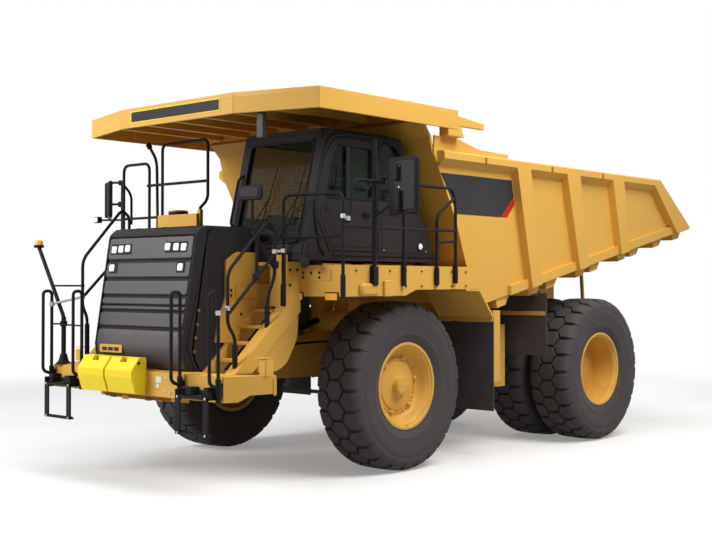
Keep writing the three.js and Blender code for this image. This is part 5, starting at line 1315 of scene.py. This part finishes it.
class TRUCK_OT_decks(BuildOperator, bpy.types.Operator):
    """Builds the decks' lamps, brackets, fender ribs and intake fittings"""

    bl_idname = "truck.decks"
    bl_label = "Decks"

    def execute(self, context):
        edge = context.scene.truck_sizes.edge
        lamps, bezels, ribs, strips, heads, boxes = [], [], [], [], [], []
        for x in (1388, 1951):
            bezels.append(plate((x, -1460, 2169), LEFT, UP, 215, 104, 10, 14, 3))
            lamps.append(plate((x, -1469, 2169), LEFT, UP, 186, 78, 14, 12, 5))
        slope = np.array((0, 1460 - 1160, 1900 - 2245), float)
        down = slope / np.linalg.norm(slope)
        for x in range(1290, 2120, 135):
            at = np.array((x, 1160, 2251), float)
            ribs.append(plate(at + down * 225 + (0, 0, 2), LEFT, down, 26, 430, 14, 10, 6))
        for x, w in ((1345, 200), (1821, 560)):
            strips.append(plate((x, 1459, 1832), LEFT, UP, w, 46, 8, 6, 2))
            heads += [(x + k * (w / 2 - 30), 1451, 1832) for k in (-1, 0, 1)]
        plates = [
            block(1275, 1300, -1472, -1460, 2300, 2480),
            plate((1660, -1461, 2420), LEFT, UP, 560, 130, 8, 20, 3),
            plate((2131, -560, 2400), BACK, UP, 1500, 210, 5, 20, 2),
        ]
        boxes += [
            plate((2131, -1040, 2250), BACK, UP, 330, 150, 52, 60, 26),
            plate((2131, -700, 2262), BACK, UP, 150, 190, 34, 20, 8),
        ]
        row = [(1500 + 130 * k, -1471, 2445) for k in range(3)] + [(1500, -1471, 2390), (1760, -1471, 2390)]
        side = [
            (2137, -1250 + 300 * k, 2470)
            for k in range(8)
        ] + [(2137, -1250 + 300 * k, 2290) for k in range(3, 8)]
        fix = joined([bolts(row, FRONT, 14, 10), bolts(side, LEFT, 11, 8), bolts(heads, FRONT, 12, 9)])
        left = joined(ribs + strips + plates[:2] + boxes)
        piece("left_deck_fittings", [left], "yellow_paint", bevel=3)
        piece("right_deck_fittings", [mirrored(joined(ribs + strips + plates[:2]))], "yellow_paint", bevel=3)
        piece("deck_bolts", [fix, mirrored(fix)], "panel_dark")
        piece("turn_lamp_bezels", bezels + [mirrored(b) for b in bezels], "dark_plastic")
        piece("turn_lamps", lamps + [mirrored(b) for b in lamps], "lamp_amber")
        x, y = -740, -1500
        cap = [
            drum([(x, y, z) for z in (3005, 3012, 3100, 3206)], [104, 98, 98, 98], 32),
            drum([(x, y, z) for z in (3206, 3212, 3244, 3262, 3265)], [118, 128, 128, 96, 30], 32),
        ]
        piece("intake_cap", cap, "dark_plastic")
        treads = []
        for sx in (1, -1):
            for k in range(14):
                y0 = -1420 + 160 * k
                treads.append(plate((sx * 1990, y0 + 60, 2535), LEFT, BACK, 220, 90, 5, 10, 2))
        for k in range(9):
            treads.append(plate((-1350, -1380 + 190 * k, 2535), LEFT, BACK, 900, 120, 4, 16, 2))
        piece("deck_treads", treads, "dark_plastic")
        return {"FINISHED"}


# ---- Cab ----

SCREEN_LEAN = 360 / 1480  # how far the windscreen leans back for each step up
SEAT_X, SEAT_Y, CAB_SILL = 1080, -330, 2650
WHEEL_MIDDLE, WHEEL_LEAN = (SEAT_X, -855, 3185), -0.80


def cushion(middle, size, power=0.42, crown=0.22, channels=(), rows=40, columns=96, lean=0.0):
    """A crowned pad: a ball whose sines and cosines are raised to a power, so it fills its box, its top swollen
    towards the middle, its sides pulled in between the corners, and its face drawn in along each sewn channel."""
    u = np.linspace(0.03, np.pi - 0.03, rows)[:, None]
    v = (2 * np.pi * np.arange(columns) / columns)[None, :]
    cos_u, sin_u = np.cos(u), np.sin(u)
    flat = np.abs(sin_u) ** (power * 0.7)
    x = flat * np.sign(np.cos(v)) * np.abs(np.cos(v)) ** power
    y = flat * np.sign(np.sin(v)) * np.abs(np.sin(v)) ** power
    z = np.sign(cos_u) * np.abs(cos_u) ** (power * 1.4) + 0 * v
    swell = (1 - np.clip(x, -1, 1) ** 2) * (1 - np.clip(y, -1, 1) ** 2)
    z = z * (1 - crown + crown * swell)
    pull = 1 - 0.035 * (1 - np.abs(x * y))
    x, y = x * pull, y * pull
    for place, width, depth in channels:
        z = z - np.sign(z) * depth * np.exp(-(((x - place) / width) ** 2)) * (np.abs(z) > 0.3)
    p = np.stack([x * size[0] / 2, y * size[1] / 2, z * size[2] / 2], -1).reshape(-1, 3)
    c, s = math.cos(lean), math.sin(lean)
    p = p @ np.array([LEFT, (0, c, s), (0, -s, c)])
    last = (rows - 1) * columns
    faces = [
        grid_faces(rows, columns, False, True), np.arange(columns)[None, ::-1],
        np.arange(last, last + columns)[None]
    ]
    return p + middle, faces


def torus(middle, radius, thick, lean, count=64, sides=14):
    """A ring about a line that leans back from upright: a small circle carried round a large one."""
    u = (2 * np.pi * np.arange(count) / count)[:, None]
    v = (2 * np.pi * np.arange(sides) / sides)[None, :]
    reach = radius + thick * np.cos(v)
    p = np.stack([reach * np.cos(u), reach * np.sin(u), thick * np.sin(v) + 0 * u], -1).reshape(-1, 3)
    c, s = math.cos(lean), math.sin(lean)
    p = p @ np.array([LEFT, (0, c, s), (0, -s, c)])
    return p + middle, [grid_faces(count, sides, True, True)]


def side_line(points, x, radius=12, bend=120):
    """A tube along (y, z) points on a plane of the cab's side."""
    return tube([(x, y, z) for y, z in points], radius, bend, 10, 8)


def side_panel(points, x, thick, corner=40):
    """A raised panel on the cab's left side, from its (y, z) outline."""
    return slab(rounded(points, corner, 5), "x", x, x + thick)


class TRUCK_OT_cab(BuildOperator, bpy.types.Operator):
    """Builds the cab's seals, panels, lamps, wipers and lining, and its soft seat"""

    bl_idname = "truck.cab"
    bl_label = "Cab"

    def execute(self, context):
        arch = [
            (-1330, 2660), (-1420, 2760), (-1512, 3190), (-1385, 3800), (-1235, 4055), (-1010, 4100),
            (-330, 4104), (-60, 4050), (115, 3880), (190, 3740)
        ]
        seals = [side_line(arch, 1708, 17, 200), side_line([(y + 26, z - 4) for y, z in arch[1:]], 1706, 8, 200)]
        quarter = [(-330, 3350), (-330, 4050), (30, 4050), (130, 3850), (330, 3350), (-330, 3350)]
        seals.append(side_line(quarter, 1702, 11, 90))
        seals.append(side_line([(-370, 2640), (-370, 4090)], 1703, 9))
        piece("cab_side_seals", seals, "seal_rubber")
        window = [
            (-1285, 3335), (-1190, 3760), (-1085, 3965), (-485, 3965), (-485, 3335), (-900, 3335), (-1285, 3335)
        ]
        piece("door_window_seal", [side_line(window, 1708, 11, 80)], "seal_rubber", "cab_door")
        skin = [
            side_panel(
                [(-1352, 3290), (-1412, 3150), (-1222, 2760), (-460, 2760), (-460, 3240), (-1240, 3240)], 1705,
                7, 50
            ),
            side_panel([(-955, 3330), (-955, 3975), (-895, 3975), (-895, 3330)], 1700, 14, 10),
        ]
        piece("door_skin", skin, "black_paint", "cab_door", bevel=4)
        grips = [
            side_panel([(-1335, 3258), (-1318, 3258), (-1298, 3150), (-1315, 3150)], 1711, 4, 6),
            side_panel([(-1290, 3230), (-1273, 3230), (-1256, 3140), (-1273, 3140)], 1711, 4, 6),
            plate((1711, -600, 3150), BACK, UP, 150, 60, 10, 18, 4),
            tube([(1716, -660, 3160), (1752, -650, 3160), (1752, -560, 3160), (1716, -550, 3160)], 9, 20, 10),
            tube([(1712, -1180, 3360), (1745, -1180, 3400), (1745, -1150, 3680), (1712, -1140, 3720)], 12, 40, 10),
        ]
        piece("door_grips", grips, "tube_black", "cab_door")
        lower = [
            side_panel([(-300, 2700), (-300, 3260), (340, 3260), (640, 2700)], 1699, 7, 60),
            slab([(-1180, 2652), (-1180, 2690), (760, 2690), (775, 2652)], "x", 1699, 1712),
            drum(
                [(1700, -1660, 2560), (1712, -1660, 2560), (1730, -1660, 2560), (1738, -1660, 2560)],
                [62, 62, 56, 40], 28
            ),
            drum([(1699, 440, 2791), (1712, 440, 2791), (1720, 440, 2791)], [58, 58, 50], 28),
            plate((1706, -60, 3180), BACK, UP, 420, 26, 8, 8, 2),
        ]
        piece("cab_side_panels", lower, "black_paint", bevel=3)
        lamp = drum([(1718, 440, 2791), (1724, 440, 2791), (1736, 440, 2791)], [38, 38, 24], 24)
        piece("cab_side_lamp", [lamp], "lamp_white")
        row = [(1706, y, 2665) for y in range(-1080, 760, 115)]
        row += [(1706, y, z) for y, z in ((-260, 3235), (300, 3235), (-260, 2730), (570, 2730))]
        piece("cab_bolts", [bolts(row, LEFT, 8, 6)], "zinc_plate")

        def screen(z, proud=0.0):
            return -1660 + (z - CAB_SILL) * 360 / 1480 - proud

        def on_screen(x, z, proud=0.0):
            return (x, screen(z, proud), z)

        lean = SCREEN_LEAN
        frame_lines = [
            tube(
                [
                    on_screen(x, z, 4)
                    for x, z in ((480, 2800), (480, 4010), (1560, 4010), (1560, 2800), (480, 2800))
                ],
                13, 70, 10, 6
            )
        ]
        piece("windscreen_seal", frame_lines, "seal_rubber")
        wipers = []
        for x, tip in ((640, 1000), (1120, 1480)):
            wipers.append(
                tube([on_screen(x, 2740, 22), on_screen(x, 2780, 34), on_screen(tip, 3380, 26)], 9, 40, 8)
            )
            wipers.append(bar(on_screen(tip - 90, 3010, 16), on_screen(tip + 20, 3720, 16), 8, 8))
            wipers.append(drum([on_screen(x, 2740, k) for k in (0, 6, 34, 40)], [34, 34, 26, 12], 18))
        wipers += [
            tube(
                [
                    on_screen(430, 3000, 6), on_screen(400, 3050, 60), on_screen(400, 3600, 60),
                    on_screen(430, 3650, 6)
                ],
                14, 60, 10
            )
        ]
        piece("wipers", wipers, "tube_black")
        visor = [plate(on_screen(1020, 4062, 1), LEFT, (0, lean, 1), 1290, 84, 16, 14, 4)]
        visor += [plate(on_screen(1020, 2722, 1), LEFT, (0, lean, 1), 1280, 110, 14, 20, 4)]
        visor += [plate((1020, -620, 4151), LEFT, BACK, 1180, 1180, 14, 80, 6)]
        piece("cab_trims", visor, "black_paint", bevel=3)
        lining = [
            plate((402, -560, 2880), BACK, UP, 1500, 400, 26, 40, 8),
            block(430, 1610, 0, 40, 2660, 3260),
            slab(
                rounded([(-860, 2655), (-860, 2940), (-760, 3010), (-150, 3010), (-60, 2900), (-60, 2655)], 60),
                "x", 620, 790
            ),
            plate((1020, -600, 4064), LEFT, FRONT, 1140, 1180, 20, 60, 6),
            slab(rounded([(-60, 2655), (-60, 3060), (60, 3120), (60, 2655)], 40), "x", 760, 1420),
        ]
        piece("cab_lining", lining, "lining_teal", bevel=6)
        piece("cab_mat", [plate((1020, -480, 2651), LEFT, BACK, 1180, 1900, 8, 60, 3)], "seal_rubber")

        x, y, sill = SEAT_X, SEAT_Y, CAB_SILL
        base = [
            drum(
                [(x, y - 20, sill + z) for z in (0, 14, 40, 70, 100, 130, 160, 190, 220, 260)],
                [190, 190, 150, 175, 150, 175, 150, 175, 150, 180], 4
            ),
            plate((x, y - 20, sill + 258), LEFT, BACK, 430, 440, 46, 60, 10),
            tube([(x - 285, y + 150, sill + 640), (x - 285, y - 180, sill + 650)], 30, 10, 12),
            tube([(x + 285, y + 150, sill + 640), (x + 285, y - 180, sill + 650)], 30, 10, 12),
            bar((x - 290, y + 170, sill + 640), (x + 290, y + 170, sill + 640), 18, 10),
        ]
        piece("seat_base", base, "dark_plastic")
        lines = ((-0.45, 0.05, 0.10), (0.45, 0.05, 0.10))
        pads = (
            ("seat_cushion", (x, y - 30, sill + 372), (505, 500, 150), lines, 0.05),
            ("seat_back", (x, y + 195, sill + 730), (480, 640, 130), lines, -1.45),
            ("seat_headrest", (x, y + 195, sill + 1135), (270, 190, 90), (), -1.45),
        )
        for name, middle, size, channels, tilt in pads:
            pad = piece(name, [cushion(middle, size, 0.42, 0.2, channels, lean=tilt)], "seat_cloth", smooth=60)
            if name == "seat_cushion":
                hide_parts("driver_seat")

        board = [
            loft(
                [
                    [
                        (sx, -1560, 2655), (sx, -1512, 2950), (sx, -1420, 3020), (sx, -1170, 3030),
                        (sx, -1120, 2930), (sx, -1290, 2655)
                    ]
                    for sx in (485, 1555)
                ]
            ),
            slab(rounded([(-1460, 3015), (-1430, 3110), (-1250, 3110), (-1210, 3020)], 30), "x", 860, 1300),
            tube([(x, -1225, 2850), (x, -860, 3180)], 30, 0, 16),
            plate((700, -1165, 3090), (1, 0.2, 0), (0, 0.3, 1), 230, 150, 24, 18, 4),
        ]
        piece("dash_board", board, "dark_plastic", "chassis", ["dashboard"], bevel=8)
        wheel = [torus(WHEEL_MIDDLE, 185, 15, WHEEL_LEAN)]
        c, s = math.cos(WHEEL_LEAN), math.sin(WHEEL_LEAN)
        for a in (0.0, math.pi * 0.62, math.pi * 1.38):
            reach = np.array((math.cos(a + 1.57) * 180, math.sin(a + 1.57) * 180 * c, math.sin(a + 1.57) * 180 * s))
            wheel.append(bar(WHEEL_MIDDLE, np.array(WHEEL_MIDDLE) + reach, 11, 10))
        wheel.append(drum([(x, -850 - k * 0.7, 3190 - k * 0.7) for k in (-14, -8, 30, 40)], [30, 46, 46, 30], 20))
        piece("steering_wheel", wheel, "dark_plastic")
        return {"FINISHED"}


# ---- Dump body ----

CANOPY_TOP, CANOPY_LOW = 4526, 4281
FLOOR_SLOPE = (3240 - 2060) / (7126 - 1470)
FLAP_X = 1425


def canopy_edge(x):
    """The place along Y of the canopy's front edge: straight in the middle and swept back to each corner."""
    return -2173 + np.clip((abs(x) - 1046) / 1084, 0, 1) * 314


def floor_z(y):
    """The height of the dump floor's underside at a place along Y."""
    return 2060 + FLOOR_SLOPE * (y - 1470)


class TRUCK_OT_dump_body(BuildOperator, bpy.types.Operator):
    """Builds the canopy with its ribs, the blank side panels and the body's wear plates and fittings"""

    bl_idname = "truck.dump_body"
    bl_label = "Dump body"

    def execute(self, context):
        edge = context.scene.truck_sizes.edge
        plan = [(-1046, -2173), (1046, -2173), (2130, -1859), (2130, 700), (-2130, 700), (-2130, -1859)]
        inner = [(-1036, -2143), (1036, -2143), (2100, -1838), (2100, 700), (-2100, 700), (-2100, -1838)]
        parts = [slab(plan, "z", CANOPY_TOP - 60, CANOPY_TOP)]
        for k in (0, 1, 2, 4, 5):
            a, b, c, d = plan[k], plan[(k + 1) % 6], inner[(k + 1) % 6], inner[k]
            parts.append(slab([a, b, c, d], "z", CANOPY_LOW, CANOPY_TOP - 50))
        for k in range(-3, 4):
            x = 560 * k
            parts.append(block(x - 35, x + 35, canopy_edge(x) + 45, 60, CANOPY_TOP - 150, CANOPY_TOP - 55))
        parts.append(block(-2102, 2102, 60, 700, CANOPY_LOW + 100, CANOPY_TOP - 50))
        wing = [(500, CANOPY_TOP - 100), (740, CANOPY_TOP - 140), (830, 4190), (500, 4190)]
        board = [(-1170, 4325), (-1170, 4480), (540, 4470), (1260, 4403), (1260, 4330)]
        for s in (1, -1):
            parts.append(slab(wing, "x", *sorted((s * 1977, s * 2125))))
            parts.append(slab(board, "x", *sorted((s * 2065, s * 2127))))
        for x in (-1046, 1046):
            parts.append(block(x - 5, x + 5, -2176, -2150, CANOPY_LOW + 6, CANOPY_TOP - 6))
        piece("canopy_plates", parts, "yellow_paint", "dump_body", ["body_canopy"], bevel=edge)
        sign = [plate((-13, -2173, 4409), LEFT, UP, 1690, 150, 5, 18, 1)]
        piece("canopy_sign_border", sign, "lemon_paint", "dump_body")
        piece("canopy_sign", [plate((-13, -2177, 4409), LEFT, UP, 1656, 122, 4, 14, 1)], "panel_dark", "dump_body")
        strut = [plate((1330, -1950, 4140), LEFT, UP, 112, 300, 66, 24, 10)]
        piece("canopy_lamp_housing", strut, "cast_grey", "dump_body", bevel=3)
        decal = [(492, 3728), (2100, 3728), (2160, 3533), (1822, 3217), (846, 3217)]
        stripe = [(2163, 3528), (2168, 3432), (1960, 3217), (1828, 3217)]
        panel = slab(decal, "x", 2003, 2006)
        red = slab(stripe, "x", 2003, 2006.5)
        piece("side_panels", [panel, mirrored(panel)], "panel_dark", "dump_body")
        piece("side_stripes", [red, mirrored(red)], "stripe_red", "dump_body")
        # Painted shade: thin plates in the yellow's shaded colour stand for the shade inside the top rail's slots.
        slots = joined([plate((2125, y, 3930), BACK, (0, 0.25, 1), 44, 88, 3, 20) for y in (1309, 2905, 4302)])
        piece("top_rail_slot_shades", [slots, mirrored(slots)], "guard_primer", "dump_body")
        wear = []
        for k in range(7):
            for j in range(4):
                y = 1700 + 740 * k
                at = (-1425 + 950 * j, y + 350, floor_z(y + 350) + 41)
                wear.append(plate(at, LEFT, (0, 1, FLOOR_SLOPE), 925, 715, 9, 14, 3))
        piece("floor_liners", wear, "cast_grey", "dump_body")
        welds = []
        for y0, y1, z0, z1 in ((2363, 2647, 3905, 2310), (3656, 3886, 3905, 2575), (4938, 5108, 3905, 2830)):
            welds.append(tube([(2004, y0 + 3, z0), (2004, y1 + 3, z1)], 7, 0, 8))
        for y0, y1, z0, z1 in ((2036, 2408, 3905, 2262), (3298, 3656, 3905, 2520), (4603, 4863, 3905, 2770)):
            welds.append(tube([(2004, y0 - 3, z0), (2004, y1 - 3, z1)], 7, 0, 8))
        welds.append(tube([(2005, 470, 3802), (2005, 6100, 3802)], 6, 0, 8))
        beads = joined(welds)
        piece("side_welds", [beads, mirrored(beads)], "yellow_paint", "dump_body")
        strips = []
        for s in (1, -1):
            strips.append(plate((s * FLAP_X, 2799, 1900), LEFT, UP, 1290, 60, 8, 8, 2))
        piece("body_flap_strips", strips, "yellow_paint", "dump_body")
        heads = [(s * (FLAP_X + dx), 2791, 1900) for s in (1, -1) for dx in range(-560, 600, 160)]
        piece("body_flap_bolts", [bolts(heads, FRONT, 12, 9)], "zinc_plate", "dump_body")
        return {"FINISHED"}


# ---- Chassis and hoists ----

HOIST_X, HOIST_LOW, HOIST_CLOSED = 590, (3600, 1020), 1210


class TRUCK_OT_chassis(BuildOperator, bpy.types.Operator):
    """Builds the hoist cylinders, tank fittings, pipes and rear lamps"""

    bl_idname = "truck.chassis"
    bl_label = "Chassis"

    def execute(self, context):
        low, closed = HOIST_LOW, HOIST_CLOSED

        def up(s):
            return (HOIST_X, low[0], low[1] + s)

        for side in ("left", "right"):
            turn = (lambda shape: shape) if side == "left" else mirrored
            eye = drum(
                [(482, low[0], low[1]), (486, low[0], low[1]), (636, low[0], low[1]), (640, low[0], low[1])],
                [70, 75, 75, 70], 32
            )
            radii = [(60, 96), (66, 108), (930, 108), (934, 116), (960, 116), (966, 112), (1040, 112), (1044, 104)]
            barrel = drum([up(s) for s, _ in radii], [r for _, r in radii], 40)
            ports = bar(up(200), (HOIST_X, low[0] - 128, low[1] + 200), 26, 14)
            pipe = tube(
                [
                    (HOIST_X, low[0] - 122, low[1] + 200), (HOIST_X, low[0] - 160, low[1] + 260),
                    (HOIST_X, low[0] - 160, low[1] + 700)
                ],
                15, 60, 10
            )
            piece(
                f"{side}_hoist_tube", [turn(joined([eye, barrel, ports, pipe]))], "cast_grey",
                f"{side}_hoist_barrel", [f"{side}_hoist_barrel"]
            )
            stage = drum([up(s) for s in (112, 116, 1056, 1060)], [76, 80, 80, 76], 40)
            piece(
                f"{side}_hoist_sleeve", [turn(stage)], "chrome_rod", f"{side}_hoist_stage",
                [f"{side}_hoist_stage"]
            )
            rod = drum([up(s) for s in (152, 156, closed - 50)], [50, 54, 54], 32)
            top = drum([(HOIST_X + dx, low[0], low[1] + closed) for dx in (-58, -54, 54, 58)], [56, 62, 62, 56], 32)
            piece(
                f"{side}_hoist_piston", [turn(joined([rod, top]))], "chrome_rod", f"{side}_hoist_rod",
                [f"{side}_hoist_rod"]
            )
        fuel = [
            drum([(1481, y, 1300) for y in (1622, 1626)], [10, 10], 8),
            plate((1481, 2140, 1300), BACK, UP, 960, 800, 6, 80, 2),
            drum(
                [(1300, 2350, 1740), (1300, 2350, 1760), (1300, 2350, 1800), (1300, 2350, 1806)],
                [70, 70, 78, 60], 28
            ),
        ]
        straps = [block(726, 1490, y, y + 60, 1735, 1748) for y in (1760, 2400)]
        straps += [block(1480, 1492, y, y + 60, 870, 1745) for y in (1760, 2400)]
        tank = joined(fuel + straps)
        piece("tank_fittings", [tank, mirrored(tank)], "yellow_paint", bevel=3)
        steps = [plate((1812, 1639, z), LEFT, UP, 120, 46, 8, 10, 3) for z in (1230, 1640)]
        steps += [plate((1760, 1639, 1430), LEFT, UP, 90, 130, 14, 14, 4)]
        fittings = joined(steps)
        piece("shield_fittings", [fittings, mirrored(fittings)], "panel_dark")
        pipes = []
        for k, x in enumerate((500, 540, 580)):
            pipes.append(
                tube(
                    [
                        (x, -2100, 1480 + 30 * k), (x, -900, 1500 + 30 * k), (x + 40, -500, 1560),
                        (x + 60, 900, 1560 + 20 * k)
                    ],
                    14, 120, 10
                )
            )
        pipes.append(
            tube([(620, -1900, 1700), (700, -1500, 1760), (740, -900, 1700), (700, -400, 1850)], 42, 160, 14)
        )
        pipes.append(
            tube([(480, -2050, 1950), (620, -1950, 2000), (640, -1500, 2050), (480, -1400, 2080)], 34, 120, 14)
        )
        group = joined(pipes)
        piece("chassis_pipes", [group, mirrored(group)], "tube_black")
        fan = [
            plate((0, -2335, 2050), LEFT, UP, 1400, 1250, 60, 80, 10),
            drum([(0, -2330 + k, 2000) for k in (0, 6, 90, 96)], [520, 540, 540, 500], 48),
            *[
                drum([(sx, y, 2290) for y in (-1900, -1880, -700, -680)], [90, 110, 110, 90], 24)
                for sx in (-250, 250)
            ],
        ]
        piece("engine_fittings", fan, "cast_grey", bevel=4)
        tail, red = [], []
        for s in (1, -1):
            tail.append(plate((s * 405, 5278, 1560), RIGHT, UP, 120, 200, 40, 20, 5))
            red.append(plate((s * 405, 5318, 1560), RIGHT, UP, 90, 160, 14, 20, 5))
        piece("tail_lamp_boxes", tail, "dark_plastic")
        piece("tail_lamps", red, "lamp_red")
        return {"FINISHED"}


class TRUCK_PT_panel(bpy.types.Panel):
    """Lists the build steps and the sizes and colours"""

    bl_label = "Dump Truck"
    bl_idname = "TRUCK_PT_panel"
    bl_space_type = "VIEW_3D"
    bl_region_type = "UI"
    bl_category = "Dump Truck"

    def draw(self, context):
        for group in (context.scene.truck_sizes, context.scene.truck_colours):
            for name in group.bl_rna.properties.keys():
                if name not in ("rna_type", "name"):
                    self.layout.prop(group, name)
        for step in STEPS:
            self.layout.operator(step.bl_idname)


STEPS = [
    TRUCK_OT_cab,
    TRUCK_OT_chassis,
    TRUCK_OT_deck_rails,
    TRUCK_OT_decks,
    TRUCK_OT_dump_body,
    TRUCK_OT_finishes,
    TRUCK_OT_front_end,
    TRUCK_OT_grille,
    TRUCK_OT_stage,
    TRUCK_OT_stairs,
    TRUCK_OT_wheels,
]
CLASSES = [TruckColours, TruckSizes, *STEPS, TRUCK_PT_panel]


def register():
    for cls in CLASSES:
        bpy.utils.register_class(cls)
    bpy.types.Scene.truck_colours = bpy.props.PointerProperty(type=TruckColours)
    bpy.types.Scene.truck_sizes = bpy.props.PointerProperty(type=TruckSizes)


def unregister():
    del bpy.types.Scene.truck_colours
    del bpy.types.Scene.truck_sizes
    for cls in reversed(CLASSES):
        bpy.utils.unregister_class(cls)


def main():
    """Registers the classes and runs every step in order."""
    register()
    for step in STEPS:
        group, name = step.bl_idname.split(".")
        getattr(getattr(bpy.ops, group), name)()
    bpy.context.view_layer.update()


if __name__ == "__main__":
    main()
